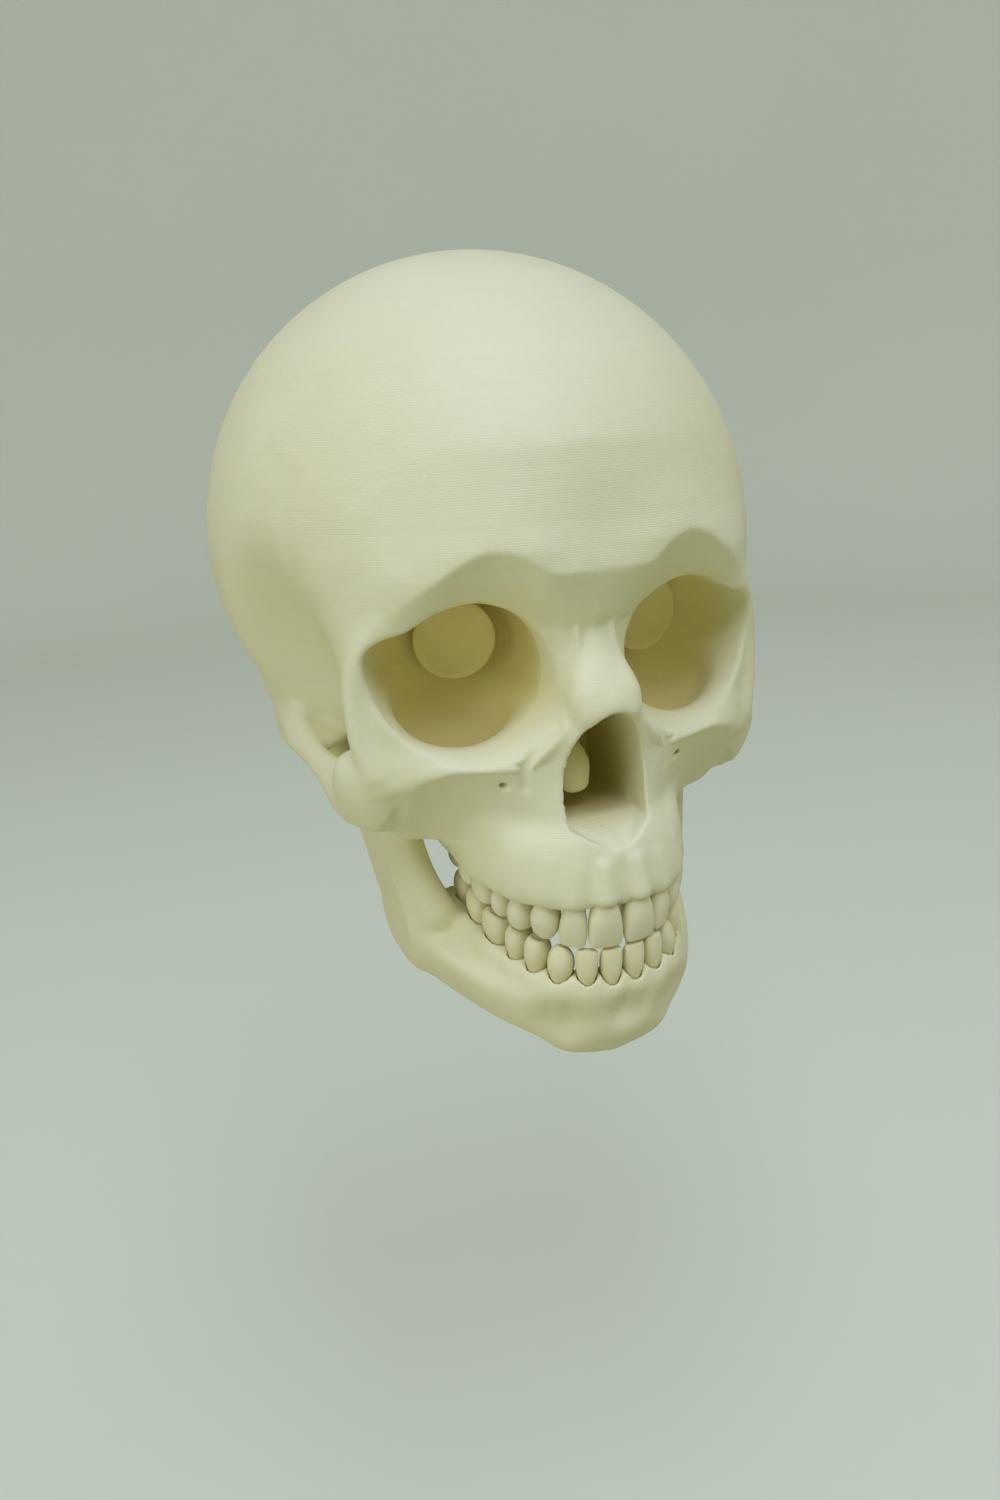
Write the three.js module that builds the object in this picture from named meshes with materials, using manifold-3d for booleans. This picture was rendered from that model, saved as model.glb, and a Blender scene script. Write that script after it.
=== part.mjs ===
// A life-size teaching skull: a hollow printed cranium with set teeth, a jaw that
// hangs on two coil springs, a plug at the back of each eye socket, and a turned
// socket under the skull base for a stand's spigot.
//
// Millimetres, +Z up, the face towards -Y, the skull's left side towards +X.
// The origin is the middle of the stand socket's flat blind end, where a spigot bears.
// Places on the bone are written as shares of the skull's half breadth, half length,
// and height above or below the ear line, measured from the middle of that line.

import * as THREE from "three";
import { mergeVertices } from "three/addons/utils/BufferGeometryUtils.js";
import Module from "manifold-3d";

const wasm = await Module();
wasm.setup();

// Overall sizes of the skull
const SKULL_BREADTH = 146;
const SKULL_LENGTH = 184;
const VAULT_RISE = 116; // ear line to the top of the head
const JAW_DROP = 90; // ear line to the underside of the chin

// Fits shared by the pieces
const GAP = 0.3; // between pieces that touch or are glued
const BITE_GAP = 0.7; // between the upper and the lower teeth
const JAW_JOINT_GAP = 0.6; // between the jaw's heads and their hollows
const OVERRUN = 8; // how far a cut runs past what it cuts

// How finely the rounded shapes are divided
const SCOOP_SEGMENTS = 14;
const SCOOP_RINGS = 9;
const SMALL_SCOOP_SEGMENTS = 12;
const SMALL_SCOOP_RINGS = 8;
const ARCH_STEPS = 200;

const HALF_BREADTH = SKULL_BREADTH / 2;
const HALF_LENGTH = SKULL_LENGTH / 2;

// Bone walls and hollows
const VAULT_WALL = 5;
const VAULT_SEGMENTS = 32;
const VAULT_RINGS = 18;
const VAULT_SQUARENESS = 2.2; // 2 is an ellipsoid
const CAVITY_SEGMENTS = 18;
const CAVITY_RINGS = 12;

// Eye sockets and the plugs at their backs
const ORBIT_RADIUS = 20.5;
const ORBIT_BACK_RADIUS = 16;
const ORBIT_FLATNESS_SHARE = 0.94;
const ORBIT_SEGMENTS = 24;
const ORBIT_PLUG_DIAMETER = 20;
const ORBIT_PLUG_THICKNESS = 3;
const ORBIT_PLUG_RAISE = 4.2; // of its middle, above the middle of the back wall
const ORBIT_PLUG_BEVEL = 0.6;
const ORBIT_PLUG_SEGMENTS = 24;

// Stand socket: a flanged cup with a blind bore for a 16 mm spigot
const SPIGOT_DIAMETER = 16;
const SPIGOT_CLEARANCE = 0.2; // on the radius
const SOCKET_WALL = 6.6;
const SOCKET_DEPTH = 30;
const SOCKET_CAP = 4;
const SOCKET_FLANGE_DIAMETER = 46;
const SOCKET_FLANGE_THICKNESS = 3.2;
const SOCKET_SEGMENTS = 24;
const BOSS_MARGIN = 3; // of the bone boss round the flange
const BOSS_HEIGHT = 14;

// Countersunk screws that hold the socket's flange
const SCREW_COUNT = 3;
const SCREW_DIAMETER = 3;
const SCREW_HEAD_DIAMETER = 6;
const SCREW_HEAD_HEIGHT = 1.7;
const SCREW_LENGTH = 12;
const SCREW_SEGMENTS = 10;

// Jaw springs and the screw eyes that they hook into
const EYE_RING_RADIUS = 2.2; // to the middle of its wire
const EYE_WIRE_RADIUS = 0.6;
const EYE_SHANK_LENGTH = 7;
const EYE_STANDOFF = 2.2; // bare shank between the ring and the bone
const EYE_RING_SEGMENTS = 14;
const EYE_WIRE_SEGMENTS = 6;
const EYE_SHANK_SEGMENTS = 8;
const SPRING_WIRE_RADIUS = 0.45;
const SPRING_COIL_RADIUS = 2.6; // to the middle of its wire
const SPRING_PITCH = 1.4;
const SPRING_TURNS = 12;
const SPRING_STEPS_PER_TURN = 8;
const SPRING_WIRE_SIDES = 5;
const HOOK_RADIUS = 1.4; // to the middle of its wire
const HOOK_STEPS = 6;

// Jaw
const CONDYLE_HALF_WIDTH = 10;
const CONDYLE_HALF_DEPTH = 4.6;
const CONDYLE_HALF_HEIGHT = 5.4;
const RAMUS_THICKNESS = 7;
const RAMUS_BEVEL = 1.8;
const JAW_RING_POINTS = 14;
const JAW_SQUARENESS = 3;

// Teeth, from the middle of the arch backwards. Width runs along the arch, depth
// from lip to tongue, and lean tips the crown towards the lip, in degrees.
const TOOTH_GAP = 0.5;
const TOOTH_RING_POINTS = 8;
const TOOTH_SQUARENESS = 2.5;
const UPPER_TEETH = [
  { name: "central_incisor", form: "incisor", width: 8.4, depth: 7, crown: 10.4, root: 10, lean: 10 },
  { name: "lateral_incisor", form: "incisor", width: 6.8, depth: 6.2, crown: 9.4, root: 10, lean: 10 },
  { name: "canine", form: "canine", width: 7.1, depth: 7.4, crown: 9.6, root: 11, lean: 6 },
  { name: "first_premolar", form: "premolar", width: 6.5, depth: 8.2, crown: 8, root: 9, lean: 2 },
  { name: "second_premolar", form: "premolar", width: 6, depth: 8.2, crown: 7.6, root: 9, lean: 0 },
  { name: "first_molar", form: "molar", width: 9, depth: 9.4, crown: 7, root: 8, lean: 0 },
  { name: "second_molar", form: "molar", width: 8.8, depth: 9.2, crown: 6.6, root: 8, lean: 0 },
  { name: "third_molar", form: "molar", width: 8, depth: 8.8, crown: 6.2, root: 7, lean: 0 },
];
const LOWER_TEETH = [
  { name: "central_incisor", form: "incisor", width: 5.5, depth: 5.6, crown: 8.6, root: 9, lean: 4 },
  { name: "lateral_incisor", form: "incisor", width: 5.5, depth: 5.8, crown: 8.6, root: 9, lean: 4 },
  { name: "canine", form: "canine", width: 6.4, depth: 6.8, crown: 9.2, root: 10, lean: 2 },
  { name: "first_premolar", form: "premolar", width: 6, depth: 7, crown: 8.2, root: 9, lean: 0 },
  { name: "second_premolar", form: "premolar", width: 6.1, depth: 7.4, crown: 7.8, root: 9, lean: 0 },
  { name: "first_molar", form: "molar", width: 9.2, depth: 8.8, crown: 7, root: 8, lean: -2 },
  { name: "second_molar", form: "molar", width: 9.2, depth: 8.6, crown: 6.6, root: 8, lean: -4 },
  { name: "third_molar", form: "molar", width: 8.8, depth: 8.4, crown: 6.2, root: 7, lean: -6 },
];
// Each tooth form's rings: height as a share of the root (below zero) or of the
// crown, then the width and the depth as shares of the tooth's own.
const TOOTH_RING_SHARES = {
  incisor: [[-1, 0.42, 0.4], [0, 0.78, 0.86], [0.4, 0.96, 0.92], [0.75, 1, 0.6], [1, 0.86, 0.26]],
  canine: [[-1, 0.42, 0.4], [0, 0.78, 0.86], [0.4, 1, 1], [0.72, 0.9, 0.74], [1, 0.28, 0.26]],
  premolar: [[-1, 0.42, 0.4], [0, 0.78, 0.82], [0.45, 1, 1], [0.82, 0.88, 0.82], [1, 0.54, 0.5]],
  molar: [[-1, 0.5, 0.5], [0, 0.84, 0.84], [0.45, 1, 1], [0.84, 0.92, 0.88], [1, 0.68, 0.62]],
};

// Dental arches: between half ellipses and boxes, running straight on past their widest place
const ARCH_CENTRE_Y_SHARE = -0.545;
const UPPER_ARCH_SHARES = { x: 0.31, y: 0.487 };
const LOWER_ARCH_SHARES = { x: 0.31, y: 0.487 };
const ARCH_SQUARENESS = 2.6;
const BITE_FRONT_Z_SHARE = -0.548;
const BITE_SLOPE = 0.16; // rise of the bite towards the back
const UPPER_MARGIN_SHARE = 0.9; // of the crown, left bare by the bone
const LOWER_MARGIN_SHARE = 0.94;

// Places on the bone, as shares
const VAULT_CENTRE_SHARES = [0, 0, 0.328];
const VAULT_UP_SHARE = 0.672;
const VAULT_DOWN_SHARE = 0.552; // of the rise, too
const TEMPLE = { centreShares: [0.87, -0.47, 0.08], sizeShares: [0.29, 0.3, 0.3] };
const UNDER_TEMPLE = { centreShares: [0.62, -0.34, -0.24], sizeShares: [0.3, 0.25, 0.165] };
const THROAT = { centreShares: [0, -0.4, -0.34], sizeShares: [0.31, 0.2, 0.18] };
const ORBIT_BACK_SHARES = [0.34, -0.64, 0.165];
const ORBIT_MOUTH_SHARES = [0.43, -0.98, 0.13];
const ORBIT_DEEP = { centreShares: [0.27, -0.58, 0.09], sizeShares: [0.14, 0.16, 0.09] };
const MASTOID = { centreShares: [0.72, 0.22, -0.12], sizeShares: [0.14, 0.13, 0.16] };
const PALATE = { centreShares: [0, -0.57, -0.49], sizeShares: [0.215, 0.36, 0.1] };
const STAND_Y_SHARE = 0.13;
const BOSS_FACE_Z_SHARE = -0.35;
const CONDYLE_SHARES = [0.66, -0.11, -0.1];
const FOSSA_MOUTH = { centreShares: [0.63, -0.12, -0.19], sizeShares: [0.2, 0.12, 0.085] };
const UPPER_EYE_SHARES = { x: 0.46, y: -0.33 };
const LOWER_EYE_SHARES = { y: -0.31, z: -0.48 };
const PTERYGOID = { xShares: [0.15, 0.2], yShares: [-0.5, -0.36], zShares: [-0.42, -0.05] };

// The face and the nose, through level sections from the top down: height, half
// width, front and back
const FACE_SECTION_SHARES = [
  [0.46, 0.56, -0.86, -0.4], [0.35, 0.7, -0.935, -0.4], [0.24, 0.7, -0.92, -0.4],
  [0.08, 0.7, -0.91, -0.4], [-0.05, 0.73, -0.925, -0.4], [-0.17, 0.73, -0.96, -0.42],
  [-0.27, 0.6, -0.99, -0.44], [-0.36, 0.46, -1.01, -0.46], [-0.44, 0.41, -1.01, -0.48],
];
const NOSE_SECTION_SHARES = [
  [0.26, 0.1, -0.94, -0.7], [0.2, 0.08, -0.965, -0.7], [0.13, 0.09, -1.03, -0.7], [0.075, 0.125, -1.08, -0.7],
  [0.045, 0.15, -1.07, -0.7], [-0.06, 0.2, -1, -0.7],
];
const SECTION_POINTS = 24;

// Bars of bone: x, y and z of the middle line, then half the thickness across the
// bar and half the depth of the face that it shows
const EYE_RIM_SHARES = [
  [-0.02, -0.93, 0.345, 0.05, 0.08], [0.2, -0.94, 0.36, 0.065, 0.1], [0.42, -0.9, 0.375, 0.07, 0.1],
  [0.6, -0.82, 0.345, 0.07, 0.08], [0.695, -0.73, 0.27, 0.065, 0.075], [0.705, -0.7, 0.15, 0.065, 0.07],
  [0.7, -0.7, 0.02, 0.09, 0.08], [0.66, -0.71, -0.12, 0.14, 0.09], [0.58, -0.74, -0.25, 0.1, 0.08],
];
const CHEEK_ARCH_SHARES = [
  [0.64, -0.68, -0.12, 0.06, 0.1], [0.72, -0.57, -0.16, 0.05, 0.1], [0.765, -0.42, -0.13, 0.04, 0.08],
  [0.785, -0.26, -0.09, 0.038, 0.065], [0.785, -0.12, -0.055, 0.04, 0.06], [0.76, 0.02, -0.02, 0.06, 0.06],
];
const BAR_POINTS = 10;

// Outlines seen from the front (x, z), of which this is one half, and from the side (y, z)
const NOSE_HOLE_SHARES = [
  [0, 0.085], [0.055, 0.07], [0.11, -0.02], [0.155, -0.13], [0.16, -0.2], [0.12, -0.26], [0, -0.265],
];
const CAVITY_SIDE_SHARES = [
  [-1.1, 0.36], [-0.52, 0.36], [-0.46, 0.14], [-0.02, 0.09], [0.04, -0.1], [0.6, -0.12], [1.1, 0.04],
  [1.1, 1.1], [-1.1, 1.1],
];
const RAMUS_SIDE_SHARES = [
  [-0.275, -0.745], [-0.21, -0.66], [-0.165, -0.56], [-0.14, -0.47], [-0.11, -0.36], [-0.085, -0.24],
  [-0.07, -0.15], [-0.11, -0.1], [-0.155, -0.15], [-0.18, -0.2], [-0.25, -0.25], [-0.34, -0.19],
  [-0.41, -0.07], [-0.455, -0.09], [-0.48, -0.3], [-0.5, -0.46], [-0.53, -0.6], [-0.5, -0.8], [-0.38, -0.8],
];
const RAMUS_MIDDLE_SHARE = 0.53;
const RAMUS_TILT_SHARE = 0.15; // of its height, outwards to the top

// The bone round the roots: half its depth, its far side, its corner's squareness
const UPPER_ALVEOLUS = { halfDepthShare: 0.073, farShare: -0.2 };
const LOWER_ALVEOLUS = { halfDepthShare: 0.07, farShare: -0.84 };
const ALVEOLUS_STEPS = 12; // from the middle to each end
const ALVEOLUS_POINTS = 10;
const ALVEOLUS_SQUARENESS = 4;

// The jaw's body, from the chin back: x, y, top z, bottom z, half thickness, and the
// outward lean of its top
const JAW_BODY_SHARES = [
  [0, -0.925, -0.7, -0.99, 0.085, 0.048], [0.137, -0.9, -0.7, -0.985, 0.086, 0.052],
  [0.24, -0.825, -0.69, -0.965, 0.088, 0.06], [0.308, -0.73, -0.665, -0.94, 0.088, 0.068],
  [0.364, -0.62, -0.63, -0.92, 0.086, 0.068], [0.415, -0.5, -0.605, -0.894, 0.08, 0.055],
  [0.46, -0.38, -0.595, -0.856, 0.067, 0.038], [0.5, -0.29, -0.61, -0.79, 0.052, 0.02],
];
const CHIN = { centreShares: [0, -0.87, -0.92], sizeShares: [0.2, 0.085, 0.065] };

/** A point on the bone from shares of the half breadth, half length and height. */
function at([x, y, z]) {
  return new THREE.Vector3(x * HALF_BREADTH, y * HALF_LENGTH, heightOf(z));
}

/** A height from a share: of the vault's rise above the ear line, of the jaw's drop below it. */
function heightOf(share) {
  return share * (share < 0 ? JAW_DROP : VAULT_RISE);
}

/** Half sizes from shares of the half breadth, half length and vault rise. */
function sizeOf([x, y, z]) {
  return new THREE.Vector3(x * HALF_BREADTH, y * HALF_LENGTH, z * VAULT_RISE);
}

/** The same place or outline on the other side of the skull. */
function flipped(v, side) {
  return new THREE.Vector3(v.x * side, v.y, v.z);
}

/** A closed three.js geometry as a solid. */
function solid(geometry) {
  const bare = geometry.clone();
  bare.deleteAttribute("normal");
  bare.deleteAttribute("uv");
  const merged = mergeVertices(bare);
  return new wasm.Manifold(
    new wasm.Mesh({
      numProp: 3,
      vertProperties: merged.attributes.position.array,
      triVerts: new Uint32Array(merged.index.array),
    }),
  );
}

/** A solid as a three.js geometry with a normal for each face. */
function geometryOf(made) {
  const mesh = made.getMesh();
  const geometry = new THREE.BufferGeometry();
  geometry.setAttribute("position", new THREE.BufferAttribute(new Float32Array(mesh.vertProperties), 3));
  geometry.setIndex(new THREE.BufferAttribute(new Uint32Array(mesh.triVerts), 1));
  const faceted = geometry.toNonIndexed();
  faceted.computeVertexNormals();
  return faceted;
}

/** A geometry mirrored to the skull's other side when side is -1. */
function mirrored(geometry, side) {
  if (side > 0) return geometry;
  const flat = geometry.index ? geometry.toNonIndexed() : geometry.clone();
  const position = flat.attributes.position;
  for (let i = 0; i < position.count; i += 3) {
    const a = new THREE.Vector3().fromBufferAttribute(position, i);
    const b = new THREE.Vector3().fromBufferAttribute(position, i + 1);
    const c = new THREE.Vector3().fromBufferAttribute(position, i + 2);
    position.setXYZ(i, -a.x, a.y, a.z);
    position.setXYZ(i + 1, -c.x, c.y, c.z);
    position.setXYZ(i + 2, -b.x, b.y, b.z);
  }
  return flat;
}

/** An ellipsoid with its poles along Z. */
function ellipsoid(centre, size, segments = SCOOP_SEGMENTS, rings = SCOOP_RINGS) {
  return new THREE.SphereGeometry(1, segments, rings)
    .rotateX(Math.PI / 2)
    .scale(size.x, size.y, size.z)
    .translate(centre.x, centre.y, centre.z);
}

/** The left and right copies of a feature given by its centre and size shares, grown all round and joined. */
function pairOf({ centreShares, sizeShares }, growth = 0) {
  const one = ellipsoid(at(centreShares), sizeOf(sizeShares).addScalar(growth));
  return solid(one).add(solid(mirrored(one, -1)));
}

/** A half outline, from the middle outwards, closed with its mirror image. */
function closedOutline(half) {
  const other = half.filter(([x]) => x > 0).map(([x, y]) => [-x, y]);
  return [...half, ...other.reverse()];
}

/** An outline's THREE.Shape. */
function shapeOf(points) {
  return new THREE.Shape(points.map(([x, y]) => new THREE.Vector2(x, y)));
}

/** An (x, z) outline in shares, run along Y between two places. */
function prismAlongY(shares, front, back) {
  const outline = closedOutline(shares).map(([x, z]) => [x * HALF_BREADTH, heightOf(z)]);
  return new THREE.ExtrudeGeometry(shapeOf(outline), { depth: back - front, bevelEnabled: false })
    .rotateX(Math.PI / 2)
    .translate(0, back, 0);
}

/** A (y, z) outline in shares, run along X between two places, its edges bevelled. */
function prismAlongX(shares, from, to, bevel = 0) {
  const outline = shares.map(([y, z]) => [y * HALF_LENGTH, heightOf(z)]);
  const options = {
    depth: to - from - 2 * bevel,
    bevelEnabled: bevel > 0,
    bevelThickness: bevel,
    bevelSize: bevel,
    bevelOffset: -bevel,
    bevelSegments: 1,
  };
  return new THREE.ExtrudeGeometry(shapeOf(outline), options)
    .rotateX(Math.PI / 2)
    .rotateZ(Math.PI / 2)
    .translate(from + bevel, 0, 0);
}

/** The middle of a ring of points. */
function middleOf(ring) {
  return ring.reduce((sum, p) => sum.add(p), new THREE.Vector3()).divideScalar(ring.length);
}

/** A closed body through rings of as many points each, with a fan on each end, its faces outwards. */
function loft(given) {
  const middles = given.map(middleOf);
  const normal = new THREE.Vector3().crossVectors(
    given[0][0].clone().sub(middles[0]),
    given[0][1].clone().sub(middles[0]),
  );
  const outwards = normal.dot(middles[1].clone().sub(middles[0])) > 0;
  const rings = outwards ? given : given.map((ring) => [...ring].reverse());
  const count = rings[0].length;
  const top = (rings.length - 1) * count;
  const [first, last] = [top + count, top + count + 1];
  const index = [];
  for (let i = 0; i < count; i++) {
    const next = (i + 1) % count;
    for (let start = 0; start < top; start += count) {
      const [a, b] = [start + i, start + next];
      index.push(a, b, b + count, a, b + count, a + count);
    }
    index.push(next, i, first, top + i, top + next, last);
  }
  const points = [...rings.flat(), middles[0], middles[middles.length - 1]];
  return new THREE.BufferGeometry().setFromPoints(points).setIndex(index);
}

/** Points round a closed curve between an ellipse (2) and a rectangle, in the plane of two axes. */
function ringAround(centre, across, up, halfWidth, halfHeight, count, squareness = 2) {
  return Array.from({ length: count }, (_, i) => {
    const angle = ((i + 1 / 2) / count) * 2 * Math.PI;
    const [c, s] = [Math.cos(angle), Math.sin(angle)];
    const reach = (Math.abs(c) ** squareness + Math.abs(s) ** squareness) ** (-1 / squareness);
    return centre
      .clone()
      .addScaledVector(across, c * reach * halfWidth)
      .addScaledVector(up, s * reach * halfHeight);
  });
}

/** A body through level sections, each given by its height, half width, front and back shares. */
function stacked(sections) {
  const across = new THREE.Vector3(1, 0, 0);
  const forward = new THREE.Vector3(0, 1, 0);
  return solid(
    loft(
      sections.map(([height, halfWidth, front, back]) => {
        const centre = at([0, (front + back) / 2, height]);
        const halfDepth = ((back - front) / 2) * HALF_LENGTH;
        return ringAround(centre, across, forward, halfWidth * HALF_BREADTH, halfDepth, SECTION_POINTS);
      }),
    ),
  );
}

/** A bar of bone along a middle line, its deeper side kept towards a given way. */
function bar(rows, side, facing) {
  const path = rows.map(([x, y, z]) => at([x, y, z]));
  const rings = path.map((centre, i) => {
    const [, , , thick, deep] = rows[i];
    const along = path[Math.min(i + 1, path.length - 1)].clone().sub(path[Math.max(i - 1, 0)]).normalize();
    const up = facing.clone().addScaledVector(along, -facing.dot(along)).normalize();
    const across = new THREE.Vector3().crossVectors(along, up);
    return ringAround(centre, across, up, thick * HALF_BREADTH, deep * HALF_BREADTH, BAR_POINTS);
  });
  return solid(mirrored(loft(rings), side));
}

/** A round bar or hole along Z. */
function cylinder(radius, bottom, top, x, y, segments) {
  return new THREE.CylinderGeometry(radius, radius, top - bottom, segments)
    .rotateX(Math.PI / 2)
    .translate(x, y, (top + bottom) / 2);
}

/** A turned body from its (radius, height) profile, its axis along +Z. */
function turned(profile, segments) {
  const points = profile.map(([r, z]) => new THREE.Vector2(r, z));
  return new THREE.LatheGeometry(points, segments).rotateX(Math.PI / 2);
}

/** Puts a geometry made along +Z at a place, pointing another way. */
function aimed(geometry, place, direction) {
  const turn = new THREE.Quaternion().setFromUnitVectors(new THREE.Vector3(0, 0, 1), direction);
  return geometry.applyQuaternion(turn).translate(place.x, place.y, place.z);
}

/** The rounded braincase, as a sphere's points pushed towards a box and scaled. */
function braincase(inset, segments, rings) {
  const geometry = new THREE.SphereGeometry(1, segments, rings).rotateX(Math.PI / 2);
  const position = geometry.attributes.position;
  const centre = at(VAULT_CENTRE_SHARES);
  for (let i = 0; i < position.count; i++) {
    const p = new THREE.Vector3().fromBufferAttribute(position, i);
    const n = VAULT_SQUARENESS;
    const reach = (Math.abs(p.x) ** n + Math.abs(p.y) ** n + Math.abs(p.z) ** n) ** (-1 / n);
    const tall = VAULT_RISE * (p.z < 0 ? VAULT_DOWN_SHARE : VAULT_UP_SHARE);
    p.multiplyScalar(reach);
    position.setXYZ(
      i,
      centre.x + p.x * (HALF_BREADTH - inset),
      centre.y + p.y * (HALF_LENGTH - inset),
      centre.z + p.z * (tall - inset),
    );
  }
  return solid(geometry);
}

/** A point of a dental arch and the way along it, this far from its middle. */
function archPlace(arch, distance, side) {
  const reach = new THREE.Vector2(arch.x * HALF_BREADTH, arch.y * HALF_LENGTH);
  const centreY = ARCH_CENTRE_Y_SHARE * HALF_LENGTH;
  let walked = 0;
  let last = new THREE.Vector2(0, centreY - reach.y);
  for (let i = 1; i <= ARCH_STEPS; i++) {
    const angle = (i / ARCH_STEPS) * (Math.PI / 2);
    const [s, c] = [Math.sin(angle), Math.cos(angle)].map((v) => v ** (2 / ARCH_SQUARENESS));
    const next = new THREE.Vector2(reach.x * s, centreY - reach.y * c);
    const step = next.distanceTo(last);
    if (walked + step >= distance) {
      const along = next.clone().sub(last).normalize();
      const point = last.clone().addScaledVector(along, distance - walked);
      return { x: side * point.x, y: point.y, along: new THREE.Vector3(side * along.x, along.y, 0) };
    }
    walked += step;
    last = next;
  }
  return { x: side * last.x, y: last.y + distance - walked, along: new THREE.Vector3(0, 1, 0) };
}

/** The height of the bite at a place along the skull. */
function biteHeight(y) {
  const front = (ARCH_CENTRE_Y_SHARE - UPPER_ARCH_SHARES.y) * HALF_LENGTH;
  return heightOf(BITE_FRONT_Z_SHARE) + BITE_SLOPE * (y - front);
}

/** One tooth, grown on every side by a clearance when it is the cut for its own bed. */
function tooth(spec, arch, distance, side, down, clearance) {
  const place = archPlace(arch, distance, side);
  const along = new THREE.Vector3(place.along.x, place.along.y, BITE_SLOPE * place.along.y).normalize();
  const upright = new THREE.Vector3(0, -BITE_SLOPE, 1).normalize().multiplyScalar(down ? -1 : 1);
  const outward = new THREE.Vector3().crossVectors(along, upright).multiplyScalar(down ? -side : side);
  const lean = THREE.MathUtils.degToRad(spec.lean);
  const crownWay = upright.clone().multiplyScalar(Math.cos(lean)).addScaledVector(outward, Math.sin(lean));
  const lipWay = outward.clone().multiplyScalar(Math.cos(lean)).addScaledVector(upright, -Math.sin(lean));
  const tip = new THREE.Vector3(place.x, place.y, biteHeight(place.y) + ((down ? 1 : -1) * BITE_GAP) / 2);
  const rings = TOOTH_RING_SHARES[spec.form].map(([height, width, depth]) => {
    const offset = height < 0 ? -spec.crown + height * spec.root - clearance : (height - 1) * spec.crown;
    return ringAround(
      tip.clone().addScaledVector(crownWay, offset),
      along,
      lipWay,
      (width * spec.width) / 2 + clearance,
      (depth * spec.depth) / 2 + clearance,
      TOOTH_RING_POINTS,
      TOOTH_SQUARENESS,
    );
  });
  return loft(rings);
}

/** Every tooth of one jaw: its name, its solid and the bed that it sits in. */
function dentition(specs, arch, down) {
  const teeth = [];
  for (const [sideName, side] of [["right", -1], ["left", 1]]) {
    let distance = 0;
    for (const spec of specs) {
      const middle = distance + (spec.width + TOOTH_GAP) / 2;
      teeth.push({
        name: [down ? "upper" : "lower", sideName, spec.name].join("_"),
        geometry: tooth(spec, arch, middle, side, down, 0),
        bed: solid(tooth(spec, arch, middle, side, down, GAP)),
      });
      distance += spec.width + TOOTH_GAP;
    }
  }
  return teeth;
}

/** The height of the bone's edge round the teeth of one jaw, at a place along the skull. */
function marginHeight(specs, marginShare, down, y) {
  const front = specs[0].crown * marginShare;
  const back = specs[specs.length - 1].crown * marginShare;
  const frontY = (ARCH_CENTRE_Y_SHARE - UPPER_ARCH_SHARES.y) * HALF_LENGTH;
  const share = THREE.MathUtils.clamp((y - frontY) / (ARCH_CENTRE_Y_SHARE * HALF_LENGTH - frontY), 0, 1);
  return biteHeight(y) + (down ? 1 : -1) * THREE.MathUtils.lerp(front, back, share);
}

/** The bone that holds the teeth of one jaw: a band along the arch, from the gum line to its far side. */
function alveolus(specs, arch, marginShare, down, { halfDepthShare, farShare }) {
  const length = specs.reduce((sum, spec) => sum + spec.width + TOOTH_GAP, 0);
  const up = new THREE.Vector3(0, 0, 1);
  const rings = [];
  for (let i = -ALVEOLUS_STEPS; i <= ALVEOLUS_STEPS; i++) {
    const side = i < 0 ? -1 : 1;
    const place = archPlace(arch, (Math.abs(i) / ALVEOLUS_STEPS) * length, side);
    const outward = new THREE.Vector3(side * place.along.y, -side * place.along.x, 0).normalize();
    const edge = marginHeight(specs, marginShare, down, place.y);
    const far = heightOf(farShare);
    const centre = new THREE.Vector3(place.x, place.y, (edge + far) / 2);
    const halfHeight = Math.abs(far - edge) / 2;
    const halfDepth = halfDepthShare * HALF_LENGTH;
    rings.push(ringAround(centre, outward, up, halfDepth, halfHeight, ALVEOLUS_POINTS, ALVEOLUS_SQUARENESS));
  }
  return solid(loft(rings));
}

/** One eye socket's frame: the middle of its back wall and the way that it opens. */
function orbitFrame(side) {
  const back = flipped(at(ORBIT_BACK_SHARES), side);
  const mouth = flipped(at(ORBIT_MOUTH_SHARES), side);
  return { back, depth: back.distanceTo(mouth), way: mouth.sub(back).normalize() };
}

/** The hollow of one eye socket, with the deeper pocket at its inner corner. */
function orbitHollow(side) {
  const { back, depth, way } = orbitFrame(side);
  const profile = [
    [0, 0], [ORBIT_BACK_RADIUS, 0], [(ORBIT_BACK_RADIUS + ORBIT_RADIUS) / 2, depth / 3],
    [ORBIT_RADIUS, depth * 2 / 3], [ORBIT_RADIUS, depth + OVERRUN], [0, depth + OVERRUN],
  ];
  const bowl = turned(profile, ORBIT_SEGMENTS).scale(1, ORBIT_FLATNESS_SHARE, 1);
  const deepSize = sizeOf(ORBIT_DEEP.sizeShares);
  const deep = ellipsoid(at(ORBIT_DEEP.centreShares), deepSize, SMALL_SCOOP_SEGMENTS, SMALL_SCOOP_RINGS);
  return solid(aimed(bowl, back, way)).add(solid(mirrored(deep, side)));
}

/** The round plug on the back wall of one eye socket. */
function orbitPlug(side) {
  const { back, way } = orbitFrame(side);
  const up = new THREE.Vector3(0, 0, 1).addScaledVector(way, -way.z).normalize();
  const place = back.clone().addScaledVector(way, GAP).addScaledVector(up, ORBIT_PLUG_RAISE);
  const radius = ORBIT_PLUG_DIAMETER / 2;
  const profile = [
    [0, 0], [radius, 0], [radius, ORBIT_PLUG_THICKNESS - ORBIT_PLUG_BEVEL],
    [radius - ORBIT_PLUG_BEVEL, ORBIT_PLUG_THICKNESS], [0, ORBIT_PLUG_THICKNESS],
  ];
  return aimed(turned(profile, ORBIT_PLUG_SEGMENTS), place, way);
}

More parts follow.
